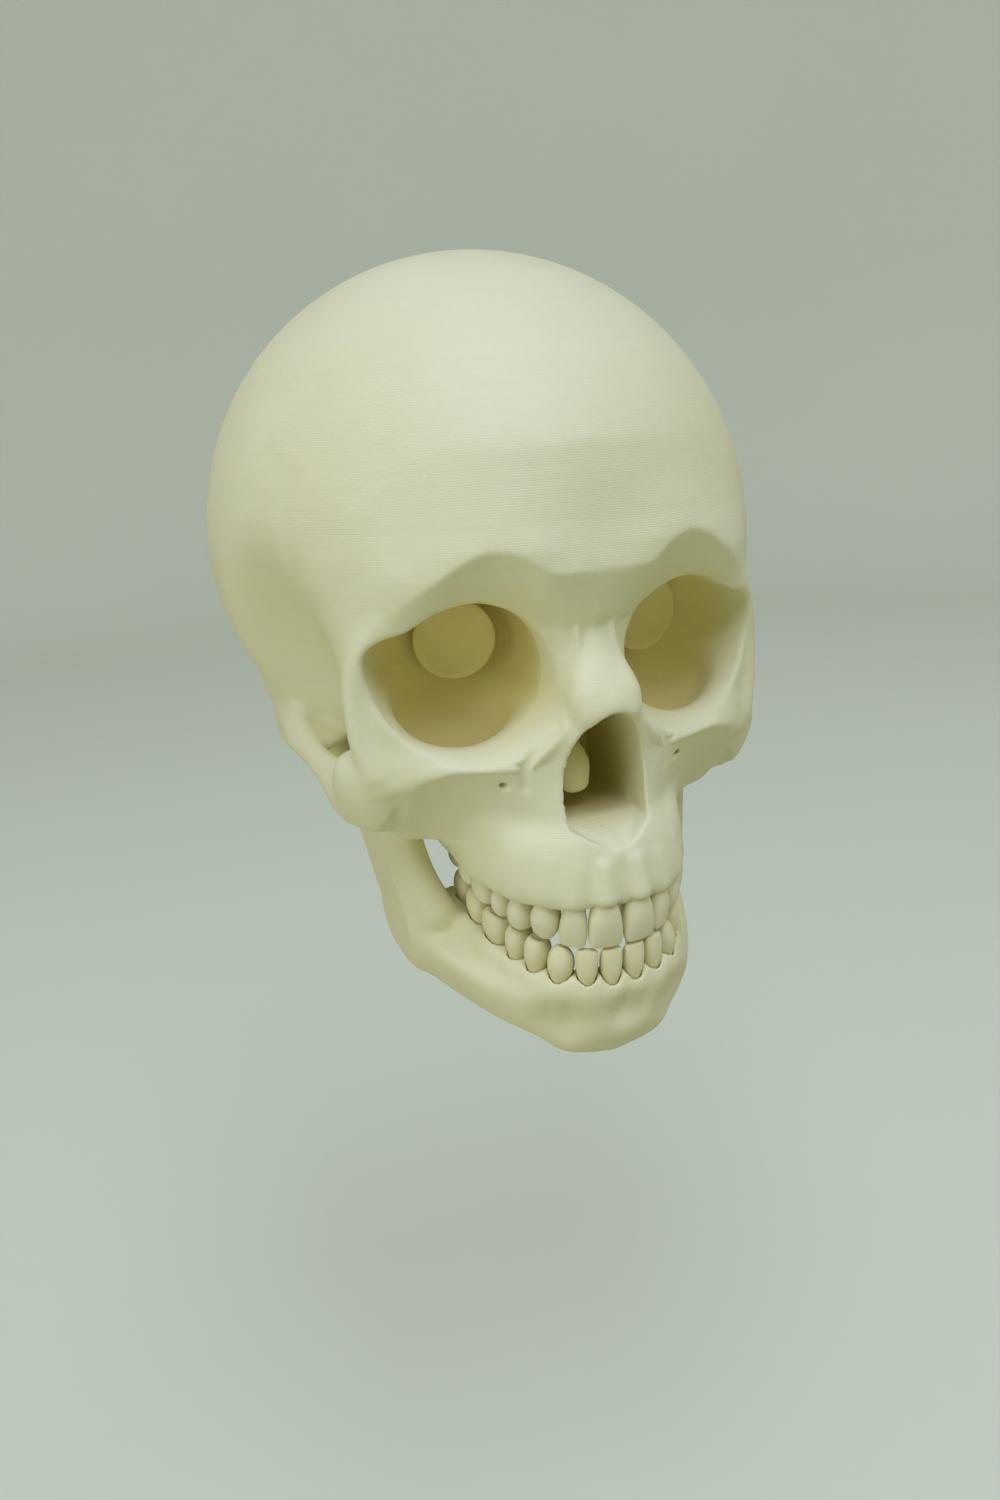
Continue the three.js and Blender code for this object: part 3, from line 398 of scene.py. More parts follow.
@dataclass(frozen=True)
class Band(Shape):
    """A bar of bone along a level line from the middle backwards.

    Its rows are x, y, top z, bottom z, half thickness, and the outward lean of its top.
    """

    rows: tuple[tuple[float, ...], ...]
    squareness: float = 3.0
    steps: int = 6
    margin: float = 2.0

    def reach(self) -> Box:
        """A box round it.

        Returns:
            Its lowest and its highest corner.
        """
        r = np.asarray(self.rows, float)
        pad = r[:, 4].max() + np.abs(r[:, 5]).max() + self.margin
        low = (0.0, r[:, 1].min() - pad, min(r[:, 2].min(), r[:, 3].min()))
        return low, (r[:, 0].max() + pad, r[:, 1].max() + pad, max(r[:, 2].max(), r[:, 3].max()))

    def distance(self, x: Grid, y: Grid, z: Grid) -> Grid:
        """The distance from the section at the nearest place of the line.

        Args:
            x: The places' X.
            y: Their Y.
            z: Their Z.

        Returns:
            The distances.
        """
        r = rounded_line(self.rows, self.steps)
        r = np.vstack([r[1] * np.array([-1, 1, 1, 1, 1, 1]), r])  # starts across the middle
        shape = np.broadcast(x, y).shape
        best = np.full(shape, np.inf)
        side = np.zeros(shape)
        values = np.zeros((4, *shape))
        for a, b in zip(r, r[1:]):
            e = b[:2] - a[:2]
            t = np.clip(((x - a[0]) * e[0] + (y - a[1]) * e[1]) / (e @ e), 0, 1)
            dx, dy = x - a[0] - e[0] * t, y - a[1] - e[1] * t
            gap = np.sqrt(dx * dx + dy * dy)
            closer = gap < best
            best = np.where(closer, gap, best)
            outward = np.sign(dx * e[1] - dy * e[0])
            side = np.where(closer, np.where(outward == 0, 1, outward) * gap, side)
            for j in range(4):
                values[j] = np.where(closer, a[j + 2] + (b[j + 2] - a[j + 2]) * t, values[j])
        top, bottom, thick, lean = values
        middle, half = (top + bottom) / 2, np.abs(top - bottom) / 2
        v = z - middle
        u = side - lean * v / np.maximum(half, 1)
        n = self.squareness
        ru, rv = np.abs(u / thick), np.abs(v / half)
        near = (ru**n + rv**n) ** (1 / n)
        steep = np.sqrt((ru ** (n - 1) / thick) ** 2 + (rv ** (n - 1) / half) ** 2)
        return squared_round(near, steep, n, 1e-4)


@dataclass(frozen=True)
class Plate(Shape):
    """A slab with a side outline (y, z), leaning outwards, its edges rounded."""

    outline: tuple[Pair, ...]
    middle: float
    lean: float
    lean_from: float
    half: float
    edge: float

    def reach(self) -> Box:
        """A box round it.

        Returns:
            Its lowest and its highest corner.
        """
        o = np.asarray(self.outline, float)
        low, high = o.min(0), o.max(0)
        middles = [self.middle + self.lean * (v - self.lean_from) for v in (low[1], high[1])]
        return (min(middles) - self.half, *low), (max(middles) + self.half, *high)

    def distance(self, x: Grid, y: Grid, z: Grid) -> Grid:
        """The rounded slab's distance.

        Args:
            x: The places' X.
            y: Their Y.
            z: Their Z.

        Returns:
            The distances.
        """
        flat = outline_distance(rounded_ring(self.outline), y, z) + self.edge
        off = np.abs(x - self.middle - self.lean * (z - self.lean_from))
        return rounded(flat, off - self.half + self.edge, self.edge)


@dataclass(frozen=True)
class Tunnel(Shape):
    """A passage with a front outline (x, z) from one y to another, its edges rounded."""

    outline: tuple[Pair, ...]
    front: float
    back: float
    edge: float
    narrowing: float = 0.0

    def reach(self) -> Box:
        """A box round it."""
        o = np.asarray(self.outline, float)
        return (0.0, self.front, o[:, 1].min()), (o[:, 0].max(), self.back, o[:, 1].max())

    def distance(self, x: Grid, y: Grid, z: Grid) -> Grid:
        """The rounded passage's distance, narrowing towards its back.

        Args:
            x: The places' X.
            y: Their Y.
            z: Their Z.

        Returns:
            The distances.
        """
        half = [p for p in self.outline if p[0] > 0]
        middle = [p for p in self.outline if p[0] <= 0]
        ring = [middle[0], *half, middle[-1], *[(-u, v) for u, v in reversed(half)]]
        share = fade(y - self.front, self.back - self.front)
        flat = outline_distance(rounded_ring(ring), x, z) + self.edge + share * self.narrowing
        deep = np.maximum(self.front - y, y - self.back) + self.edge
        return rounded(flat, deep, self.edge)


@dataclass(frozen=True)
class PaintedShadeZone:
    """Where behind the face shade is painted into the plastic's colour: inside the eye sockets and the nose.
    """

    start: float = 3.0
    run: float = 15.0
    half_width: float = 50.0
    side_fade: float = 4.0
    low: float = -24.0
    high: float = 40.0
    edge_fade: float = 3.0
    nose_half_width: float = 14.0
    socket_end: float = -52.0
    nose_end: float = -40.0
    end_fade: float = 4.0

    def share(self, behind: Grid, x: Grid, y: Grid, z: Grid) -> Grid:
        """How much painted shade places get, from how far behind the face's front they lie.

        Args:
            behind: How far the places lie behind the face.
            x: Their X.
            y: Their Y.
            z: Their Z.

        Returns:
            A share from 0 to 1 for each place.
        """
        level = fade(z - self.low, self.edge_fade) * fade(self.high - z, self.edge_fade)
        inside = fade(self.half_width - np.abs(x), self.side_fade) * level
        end = np.where(np.abs(x) > self.nose_half_width, self.socket_end, self.nose_end)
        return fade(behind - self.start, self.run) * inside * fade(end - y, self.end_fade)


@dataclass(frozen=True)
class FaceRelief(Shape):
    """The face as a table of how far forward it stands at each x and z, over a back wall."""

    across: tuple[float, ...]
    heights: tuple[float, ...]
    forward: tuple[tuple[float, ...], ...]
    back: tuple[float, ...]
    outline: tuple[Pair, ...]
    edge: float = 2.5
    steepest: float = 6.0
    # where shade is painted into the colour, behind the face
    zone: PaintedShadeZone = PaintedShadeZone()

    def reach(self) -> Box:
        """A box round it.

        Returns:
            Its lowest and its highest corner.
        """
        o = np.asarray(self.outline, float)
        low = (0.0, -max(map(max, self.forward)), o[:, 1].min())
        return low, (o[:, 0].max(), -min(self.back), o[:, 1].max())

    def front(self, x: Grid, z: Grid) -> Grid:
        """How far forward the face stands, with one row for each x and one column for each z.

        Args:
            x: Columns to read.
            z: Heights to read.

        Returns:
            The face's distance before the ear line.
        """
        order = np.argsort(self.heights)
        rows = through(self.across, np.asarray(self.forward, float)[order], x.ravel())
        return through(np.asarray(self.heights)[order], rows.T, z.ravel())

    def front_at(self, x: Grid, z: Grid) -> Grid:
        """How far forward the face stands at each of many places, read from a table of it.

        Args:
            x: The places' X.
            z: Their Z.

        Returns:
            The face's distance before the ear line.
        """
        wide, low, high = 60, -30, 49
        table = self.front(np.arange(0, wide + 1.0), np.arange(low, high + 1.0))
        i = np.clip(np.abs(x), 0, wide - 0.1)
        k = np.clip(z - low, 0, high - low - 0.1)
        a, b = i.astype(int), k.astype(int)
        i, k = i - a, k - b
        lower = (table[a, b] * (1 - i) + table[a + 1, b] * i) * (1 - k)
        return lower + (table[a, b + 1] * (1 - i) + table[a + 1, b + 1] * i) * k

    def point(self, x: float, z: float, out: float = 0.0) -> Triple:
        """A place on the face's front, or this far before it."""
        return x, -float(self.front(np.array([x]), np.array([z]))[0, 0]) - out, z

    def mark_painted_shade(self, made: Object, least: float = 0.0) -> None:
        """Stores how much painted shade each point of an object gets, for its material, in the depth
        attribute.

        Args:
            made: The object, still where its mesh was made.
            least: The least share of painted shade that any point gets.
        """
        mesh = made.data
        flat = np.empty(len(mesh.vertices) * 3)
        mesh.vertices.foreach_get("co", flat)
        x, y, z = (flat.reshape(-1, 3) / MILLIMETRE - EAR_LINE_IN_ROW).T
        share = self.zone.share(self.front_at(x, z) + y, x, y, z)
        # painted shade: the share is stored as the depth attribute, which the material reads
        layer = mesh.attributes.new("depth", "FLOAT", "POINT")
        layer.data.foreach_set("value", np.maximum(share, least).astype(np.float32))

    def ahead(self, x: Grid, y: Grid, z: Grid) -> Grid:
        """How far places lie before the face.

        Args:
            x: The places' X.
            y: Their Y.
            z: Their Z.

        Returns:
            The distances, above zero before the face.
        """
        front = self.front(x, z)
        slope = np.gradient(front, x.ravel(), axis=0) ** 2
        slope += np.gradient(front, z.ravel(), axis=1) ** 2
        steep = np.sqrt(1 + np.minimum(slope, self.steepest))
        return (-y - front[:, None, :]) / steep[:, None, :]

    def distance(self, x: Grid, y: Grid, z: Grid) -> Grid:
        """The distance from the front, the back or the outline, whichever is nearest.

        Args:
            x: The places' X.
            y: Their Y.
            z: Their Z.

        Returns:
            The distances.
        """
        rear = through(self.across, np.asarray([self.back], float), x.ravel())[0]
        behind = rear[:, None, None] + y
        both = [(-u, v) for u, v in reversed(self.outline)] + list(self.outline)
        sides = outline_distance(rounded_ring(both, 3), x, z)
        return soft_max(soft_max(self.ahead(x, y, z), behind, self.edge), sides, self.edge)


@dataclass
class BoneField:
    """Bone as distances on a grid over the left half of the skull."""

    xs: Grid
    ys: Grid
    zs: Grid
    values: Grid = field(init=False)
    empty: float = 50.0
    margin: float = 3.0

    def __post_init__(self) -> None:
        """Starts as empty space."""
        size = len(self.xs), len(self.ys), len(self.zs)
        self.values = np.full(size, self.empty, np.float32)

    def block(self, shape: Shape, pad: float) -> tuple[slice, slice, slice] | None:
        """The grid's slices round a shape, or None where it is outside the grid.

        Args:
            shape: The shape.
            pad: How much wider the part of the grid is.

        Returns:
            The slices along X, Y and Z.
        """
        cuts = []
        for axis, a, b in zip((self.xs, self.ys, self.zs), *shape.reach()):
            i, j = np.searchsorted(axis, a - pad), np.searchsorted(axis, b + pad, "right")
            cuts.append(slice(max(i - 1, 0), min(j + 1, len(axis))))
            if cuts[-1].stop - cuts[-1].start < 3:
                return None
        return tuple(cuts)

    def _mix(self, shape: Shape, blend: float, joins: bool) -> None:
        """Joins or cuts a shape.

        Args:
            shape: The shape.
            blend: The reach of the melted seam.
            joins: Whether it joins or cuts.
        """
        cut = self.block(shape, blend + self.margin)
        if cut is None:
            return
        x = self.xs[cut[0]][:, None, None]
        y = self.ys[cut[1]][None, :, None]
        z = self.zs[cut[2]][None, None, :]
        d = shape.distance(x, y, z).astype(np.float32)
        old = self.values[cut]
        self.values[cut] = soft_min(old, d, blend) if joins else soft_max(old, -d, blend)

    def add(self, shape: Shape, blend: float) -> None:
        """Joins a shape, melted in over a blend."""
        self._mix(shape, blend, True)

    def cut(self, shape: Shape, blend: float) -> None:
        """Cuts a shape away, its rim softened over a blend."""
        self._mix(shape, blend, False)

    def mirrored(self) -> "BoneField":
        """The field of both halves.

        Returns:
            A new field, whose grid starts at the far right.
        """
        both = BoneField(np.concatenate([-self.xs[:0:-1], self.xs]), self.ys, self.zs)
        both.values = np.concatenate([self.values[:0:-1], self.values])
        return both

    def mesh(self, name: str) -> Object:
        """The surface of the bone as an object."""
        return mesh_object(name, *NetMesher(self.values, self.xs, self.ys, self.zs).build())


def graded(*runs: tuple[float, float, float]) -> Grid:
    """Rising places from runs of (start, end, step)."""
    parts = [np.arange(a, b - s * 0.5, s) for a, b, s in runs]
    return np.concatenate([*parts, [runs[-1][1]]])


@dataclass
class NetMesher:
    """Turns a field into a mesh of four-sided faces, with its points eased onto the surface."""

    values: Grid
    xs: Grid
    ys: Grid
    zs: Grid
    passes: int = 3
    ease: float = 0.6
    returns: int = 2
    least_slope: float = 0.05
    longest: float = 0.6

    def sample(self, points: Grid) -> tuple[Grid, Grid]:
        """The field's value and slope at points.

        Args:
            points: The points, one in each row.

        Returns:
            The values, and the slopes with one row for each point.
        """
        index, share, width = [], [], []
        for axis, column in zip((self.xs, self.ys, self.zs), points.T):
            i = np.clip(np.searchsorted(axis, column) - 1, 0, len(axis) - 2)
            w = axis[i + 1] - axis[i]
            index.append(i)
            width.append(w)
            share.append(np.clip((column - axis[i]) / w, 0, 1))
        value = np.zeros(len(points))
        slope = np.zeros((len(points), 3))
        for c in np.ndindex(2, 2, 2):
            corner = self.values[index[0] + c[0], index[1] + c[1], index[2] + c[2]]
            part = [s if o else 1 - s for s, o in zip(share, c)]
            value += corner * part[0] * part[1] * part[2]
            for k in range(3):
                others = part[(k + 1) % 3] * part[(k + 2) % 3]
                slope[:, k] += corner * (1 if c[k] else -1) * others / width[k]
        return value, slope

    def build(self) -> tuple[Grid, Grid]:
        """The points, and the faces as four point numbers each.

        Returns:
            The points and the faces.
        """
        inside = self.values < 0
        x, y, z = (n - 1 for n in inside.shape)
        corners = (inside[a : a + x, b : b + y, c : c + z] for a, b, c in np.ndindex(2, 2, 2))
        count = sum(corner.astype(np.uint8) for corner in corners)
        active = (count > 0) & (count < 8)
        cells = np.argwhere(active)
        number = np.full(active.shape, -1, np.int64)
        number[active] = np.arange(len(cells))
        faces = np.concatenate([self._faces(inside, number, k) for k in range(3)])
        return self.eased(self.crossings(cells), faces), faces

    def crossings(self, cells: Grid) -> Grid:
        """The mean of the places where the surface crosses each cell's edges.

        Args:
            cells: The cells' place in the grid, one in each row.

        Returns:
            One point for each cell.
        """
        total, met = np.zeros((len(cells), 3)), np.zeros(len(cells))
        axes = (self.xs, self.ys, self.zs)
        for a in np.ndindex(2, 2, 2):
            for k in range(3):
                if a[k]:
                    continue
                b = list(a)
                b[k] = 1
                ia, ib = cells + np.array(a), cells + np.array(b)
                va, vb = self.values[tuple(ia.T)], self.values[tuple(ib.T)]
                crosses = (va < 0) != (vb < 0)
                t = np.where(crosses, va / np.where(crosses, va - vb, 1), 0)
                pa = np.stack([axis[i] for axis, i in zip(axes, ia.T)], 1)
                pb = np.stack([axis[i] for axis, i in zip(axes, ib.T)], 1)
                total += np.where(crosses[:, None], pa + (pb - pa) * t[:, None], 0)
                met += crosses
        return total / met[:, None]

    def eased(self, points: Grid, faces: Grid) -> Grid:
        """The points, evened out among their neighbours and put back on the surface.

        Args:
            points: The points.
            faces: The faces as point numbers.

        Returns:
            The moved points.
        """
        pairs = np.concatenate([faces[:, [i, (i + 1) % 4]] for i in range(4)])
        ways = (pairs[:, 0], pairs[:, 1]), (pairs[:, 1], pairs[:, 0])
        links = sum(np.bincount(own, minlength=len(points)) for own, _ in ways)
        for _ in range(self.passes):
            near = np.zeros_like(points)
            for k in range(3):
                for own, other in ways:
                    near[:, k] += np.bincount(own, points[other, k], len(points))
            points = points * (1 - self.ease) + self.ease * near / links[:, None]
            for _ in range(self.returns):
                value, slope = self.sample(points)
                size = np.maximum((slope**2).sum(1), self.least_slope)
                points -= slope * np.clip(value / size, -self.longest, self.longest)[:, None]
        return points

    def _faces(self, inside: Grid, number: Grid, k: int) -> Grid:
        """The faces across the grid's edges along one axis, turned outwards.

        Args:
            inside: Which grid places are inside.
            number: Each cell's point number.
            k: The axis.

        Returns:
            The faces as point numbers.
        """
        low = [slice(1, -1)] * 3
        high = [slice(1, -1)] * 3
        low[k], high[k] = slice(0, -1), slice(1, None)
        a, b = inside[tuple(low)], inside[tuple(high)]
        at = np.argwhere(a != b)
        at[:, [i for i in range(3) if i != k]] += 1
        i, j = (k + 1) % 3, (k + 2) % 3
        step_i, step_j = np.eye(3, dtype=int)[i], np.eye(3, dtype=int)[j]
        ring = [at - step_i - step_j, at - step_j, at, at - step_i]
        quads = np.stack([number[tuple(c.T)] for c in ring], 1)
        outward = a[a != b]
        return np.where(outward[:, None], quads, quads[:, ::-1])


# ---------------------------------------------------------------- meshes in the scene


def to_row(points: Grid) -> Grid:
    """Millimetres in the skull's frame as metres in the row's frame."""
    return (np.asarray(points, float) + EAR_LINE_IN_ROW) * MILLIMETRE


def mesh_object(
    name: str, points: Grid, faces: Sequence[Sequence[int]] | Grid, smooth: bool = True
) -> Object:
    """A mesh object in the scene.

    Args:
        name: The piece's name.
        points: Its points, in the skull's frame.
        faces: Point numbers of each face.
        smooth: Whether its faces are shaded as one surface.

    Returns:
        The new object.
    """
    mesh = bpy.data.meshes.new(name)
    mesh.from_pydata(to_row(points).tolist(), [], [list(map(int, f)) for f in faces])
    mesh.validate()
    mesh.polygons.foreach_set("use_smooth", np.full(len(mesh.polygons), smooth))
    mesh.update()
    made = bpy.data.objects.new(name, mesh)
    bpy.context.scene.collection.objects.link(made)
    return made


def settle(made: Object, body: Body, slot: Slot, finish: Material, *nodes: str) -> None:
    """Dresses a piece, puts it on its body and lets it stand for its nodes.

    Args:
        made: The piece.
        body: The body that it rides on, unless it is blended between two.
        slot: The record's material slot; not used.
        finish: Its material.
        nodes: The CAD nodes that it replaces.
    """
    made.data.materials.clear()
    made.data.materials.append(finish)
    if nodes:
        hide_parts(*nodes)
    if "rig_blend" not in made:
        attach(made, body.value)
    log.info("%s: %d faces, on %s", made.name, len(made.data.polygons), body.value)


def carve(made: Object, cutters: Sequence[Object]) -> None:
    """Cuts bodies from an object's mesh, and takes them out of the scene.

    Args:
        made: The object.
        cutters: The bodies to cut away.
    """
    for cutter in cutters:
        cut = made.modifiers.new("cut", "BOOLEAN")
        cut.object, cut.operation, cut.solver = cutter, "DIFFERENCE", "EXACT"
    bpy.context.view_layer.update()
    held = made.evaluated_get(bpy.context.evaluated_depsgraph_get())
    made.data = bpy.data.meshes.new_from_object(held)
    made.modifiers.clear()
    for cutter in cutters:
        bpy.data.objects.remove(cutter)


def flipped(faces: Faces) -> Faces:
    """The faces turned the other way round."""
    return [f[::-1] for f in faces]


def between_rings(rings: int, sides: int) -> Faces:
    """The faces from each ring of points to the next, the rings numbered one after the other.

    Args:
        rings: How many rings there are.
        sides: The points in each.

    Returns:
        The faces.
    """
    return [
        [low + j, low + (j + 1) % sides, low + sides + (j + 1) % sides, low + sides + j]
        for low in range(0, (rings - 1) * sides, sides)
        for j in range(sides)
    ]


def lathe(profile: Sequence[Pair], count: int) -> Mesh:
    """A body turned about Z from (radius, z) points, closed where the radius is zero.

    Args:
        profile: The outline's points.
        count: The sides of the round.

    Returns:
        The points and the faces.
    """
    points: list[Triple] = []
    rings: list[list[int]] = []
    for r, z in profile:
        turns = count if r > TINY else 1
        rings.append(list(range(len(points), len(points) + turns)))
        angles = [2 * math.pi * i / count for i in range(turns)]
        points += [(r * math.cos(a), r * math.sin(a), z) for a in angles]
    faces = []
    for a, b in zip(rings, rings[1:]):
        for i in range(count):
            j = (i + 1) % count
            ring = [a[i % len(a)], a[j % len(a)], b[j % len(b)], b[i % len(b)]]
            faces.append(list(dict.fromkeys(ring)))
    return np.array(points), faces


def tube(line: Grid, radius: float, sides: int) -> Mesh:
    """A wire along a line, closed at its ends.

    Args:
        line: The wire's middle line.
        radius: The wire's radius.
        sides: The sides of its round.

    Returns:
        The points and the faces.
    """
    line = np.asarray(line, float)
    along = np.gradient(line, axis=0)
    along /= np.linalg.norm(along, axis=1)[:, None]
    across = np.cross(along[0], [0.3, 0.2, 0.9])
    angles = (np.arange(sides) * 2 * np.pi / sides)[:, None]
    points = []
    for p, t in zip(line, along):
        across = across - t * (across @ t)
        across /= np.linalg.norm(across)
        up = np.cross(t, across)
        points.append(p + radius * (np.cos(angles) * across + np.sin(angles) * up))
    count = len(line)
    ends = [list(range(sides))[::-1], list(range((count - 1) * sides, count * sides))]
    return np.concatenate(points), between_rings(count, sides) + ends


# ---------------------------------------------------------------- finishes


@dataclass
class NodeBench:
    """A material's nodes, added and joined by name."""

    name: str
    material: Material = field(init=False)

    def __post_init__(self) -> None:
        """Makes the material with its shader."""
        self.material = bpy.data.materials.new(self.name)
        self.material.use_nodes = True
        self.tree = self.material.node_tree
        self.shader = self.tree.nodes["Principled BSDF"]

    def node(self, kind: str, **values: object) -> bpy.types.Node:
        """Adds a node; values for its inputs or its own settings are given by their names.

        Args:
            kind: The node's kind, without its first words.
            values: Constants and settings.

        Returns:
            The new node.
        """
        made = self.tree.nodes.new("ShaderNode" + kind)
        for key, value in values.items():
            if key in made.inputs:
                made.inputs[key].default_value = value
            else:
                setattr(made, key, value)
        return made

    def put(self, value: object, target: Socket) -> None:
        """Links a socket to an input, or gives the input a constant.

        Args:
            value: A socket or a constant.
            target: The input.
        """
        if isinstance(value, Socket):
            self.tree.links.new(value, target)
        else:
            target.default_value = value

    def dress(self, values: dict[str, object]) -> None:
        """Puts values, each a constant or a socket, on the shader's own inputs."""
        for key, value in values.items():
            self.put(value, self.shader.inputs[key])

    def mix(self, factor: object, a: object, b: object) -> Socket:
        """Mixes two colours, each a colour or a socket.

        Args:
            factor: The share of the second colour.
            a: The first colour.
            b: The second.

        Returns:
            The result's socket.
        """
        made = self.node("Mix", data_type="RGBA")
        for number, value in ((0, factor), (6, a), (7, b)):
            self.put(value, made.inputs[number])
        return made.outputs[2]

    def spread(
        self,
        source: Socket,
        low: float,
        high: float,
        to_low: float = 0.0,
        to_high: float = 1.0,
    ) -> Socket:
        """Maps one range of numbers to another, clamped.

        Args:
            source: The numbers.
            low: The lowest of them.
            high: The highest.
            to_low: What the lowest becomes.
            to_high: What the highest becomes.

        Returns:
            The result's socket.
        """
        made = self.node("MapRange")
        for number, value in enumerate((source, low, high, to_low, to_high)):
            self.put(value, made.inputs[number])
        return made.outputs[0]

    def math(self, operation: str, a: object, b: object = 0.0) -> Socket:
        """A sum of two numbers, each a number or a socket.

        Args:
            operation: The sum's kind.
            a: The first number.
            b: The second.

        Returns:
            The result's socket.
        """
        made = self.node("Math", operation=operation)
        for socket, value in zip(made.inputs, (a, b)):
            self.put(value, socket)
        return made.outputs[0]

    def noise(self, scale: float, detail: float = 3.0, stretch: Triple = (1, 1, 1)) -> Socket:
        """Noise over the piece's own places, squeezed along its axes.

        Args:
            scale: How fine it is.
            detail: How rough it is.
            stretch: Factors along the axes.

        Returns:
            The result's socket.
        """
        mapping = self.node("Mapping", Scale=stretch)
        self.put(self.node("TexCoord").outputs["Object"], mapping.inputs["Vector"])
        made = self.node("TexNoise", Scale=scale, Detail=detail)
        self.put(mapping.outputs[0], made.inputs["Vector"])
        return made.outputs["Fac"]

    def bump(self, height: Socket, strength: float, depth: float) -> Socket:
        """A surface raised by a height, this many metres at most.

        Args:
            height: The height, from 0 to 1.
            strength: How much of it shows.
            depth: The height's reach.

        Returns:
            The result's socket.
        """
        made = self.node("Bump", Strength=strength, Distance=depth)
        self.put(height, made.inputs["Height"])
        return made.outputs[0]


@dataclass(frozen=True)
class PrintedIvory:
    """Cream plastic laid down in fine level layers, with shade painted into its colour where the depth
    attribute says the hollows lie.
    """

    name: str
    colour: Quad = (0.84, 0.805, 0.455, 1)
    warm: Quad = (0.81, 0.77, 0.40, 1)
    streak: Quad = (0.72, 0.665, 0.38, 1)
    # painted shade: the darker, browner colour that stands in for the shade inside the eye sockets and the
    # nose
    painted_shade: Quad = (0.79, 0.68, 0.24, 1)
    streak_share: float = 0.16
    roughness: float = 0.52
    layer: float = 0.0005
    layer_depth: float = 0.00003
    layer_strength: float = 0.55
    grain_share: float = 0.6
    glow_through: float = 0.07
    glow_reach: Triple = (0.0025, 0.0019, 0.0006)

    def make(self) -> Material:
        """The material.

        Returns:
            The new material.
        """
        bench = NodeBench(self.name)
        rough = self.roughness - 0.07, self.roughness + 0.08
        bench.dress({
            "IOR": 1.46,
            "Specular IOR Level": 0.3,
            "Subsurface Weight": self.glow_through,
            "Subsurface Radius": self.glow_reach,
            "Subsurface Scale": 1.0,
            "Base Color": self.tone(bench),
            "Roughness": bench.spread(bench.noise(90, 4, (1, 1, 5)), 0.3, 0.7, *rough),
            "Normal": bench.bump(self.relief(bench), self.layer_strength, self.layer_depth),
        })
        return bench.material

    def tone(self, bench: NodeBench) -> Socket:
        """The colour: soft patches, level streaks and the shade painted into the hollows.

        Args:
            bench: The material's nodes.

        Returns:
            The result's socket.
        """
        patches = bench.spread(bench.noise(26, 4), 0.35, 0.7)
        streaks = bench.spread(bench.noise(14, 6, (0.06, 0.06, 40)), 0.3, 0.72)
        tone = bench.mix(patches, self.colour, self.warm)
        tone = bench.mix(bench.math("MULTIPLY", streaks, self.streak_share), tone, self.streak)
        # painted shade: the depth attribute mixes in the shade colour where shade falls
        depth = bench.node("Attribute", attribute_name="depth")
        return bench.mix(depth.outputs["Fac"], tone, self.painted_shade)

    def relief(self, bench: NodeBench) -> Socket:
        """The height of the layers' lines, stronger in some places, and a fine grain.

        Args:
            bench: The material's nodes.

        Returns:
            The result's socket.
        """
        split = bench.node("SeparateXYZ")
        bench.put(bench.node("TexCoord").outputs["Object"], split.inputs[0])
        wobble = bench.math("MULTIPLY", bench.noise(30, 2), self.layer * 2)
        height = bench.math("ADD", split.outputs["Z"], wobble)
        wave = bench.math("SINE", bench.math("MULTIPLY", height, 2 * math.pi / self.layer))
        patchy = bench.spread(bench.noise(45, 3, (0.3, 0.3, 2)), 0.35, 0.65, 0.35, 1)
        grain = bench.math("MULTIPLY", bench.noise(900, 2), self.grain_share)
        return bench.math("ADD", bench.math("MULTIPLY", wave, patchy), grain)


@dataclass(frozen=True)
class MouldedBlack:
    """Satin black moulded plastic with a fine grain."""

    name: str
    colour: Quad = (0.011, 0.0105, 0.0105, 1)
    pale: Quad = (0.022, 0.021, 0.02, 1)
    roughness: float = 0.42
    grain_strength: float = 0.4
    grain_depth: float = 0.00005

    def make(self) -> Material:
        """The material.

        Returns:
            The new material.
        """
        bench = NodeBench(self.name)
        rough = self.roughness - 0.08, self.roughness + 0.12
        bench.dress({
            "Base Color": bench.mix(bench.noise(60, 3), self.colour, self.pale),
            "Roughness": bench.spread(bench.noise(220, 3), 0.3, 0.7, *rough),
            "Normal": bench.bump(bench.noise(2600, 2), self.grain_strength, self.grain_depth),
        })
        return bench.material


@dataclass(frozen=True)
class DrawnSteel:
    """Bright zinc-plated wire, a little streaked."""

    name: str
    colour: Quad = (0.50, 0.50, 0.48, 1)
    dull: Quad = (0.34, 0.34, 0.32, 1)
    roughness: float = 0.28

    def make(self) -> Material:
        """The material.

        Returns:
            The new material.
        """
        bench = NodeBench(self.name)
        rough = self.roughness - 0.08, self.roughness + 0.16
        bench.dress({
            "Metallic": 1.0,
            "Base Color": bench.mix(bench.noise(180, 4), self.colour, self.dull),
            "Roughness": bench.spread(bench.noise(700, 3), 0.3, 0.7, *rough),
        })
        return bench.material


@dataclass(frozen=True)
class Finishes:
    """The materials of the model, one for each slot."""

    bone: Material
    tooth: Material
    socket: Material
    steel: Material

    @staticmethod
    def make() -> "Finishes":
        """Makes them all.

        Returns:
            The finishes.
        """
        return Finishes(
            bone=PrintedIvory("printed_bone").make(),
            tooth=PrintedIvory(
                "printed_tooth",
                colour=(0.86, 0.81, 0.47, 1),
                warm=(0.82, 0.765, 0.41, 1),
                roughness=0.46,
            ).make(),
            socket=MouldedBlack("socket_black").make(),
            steel=DrawnSteel("spring_steel").make(),
        )


# ---------------------------------------------------------------- teeth


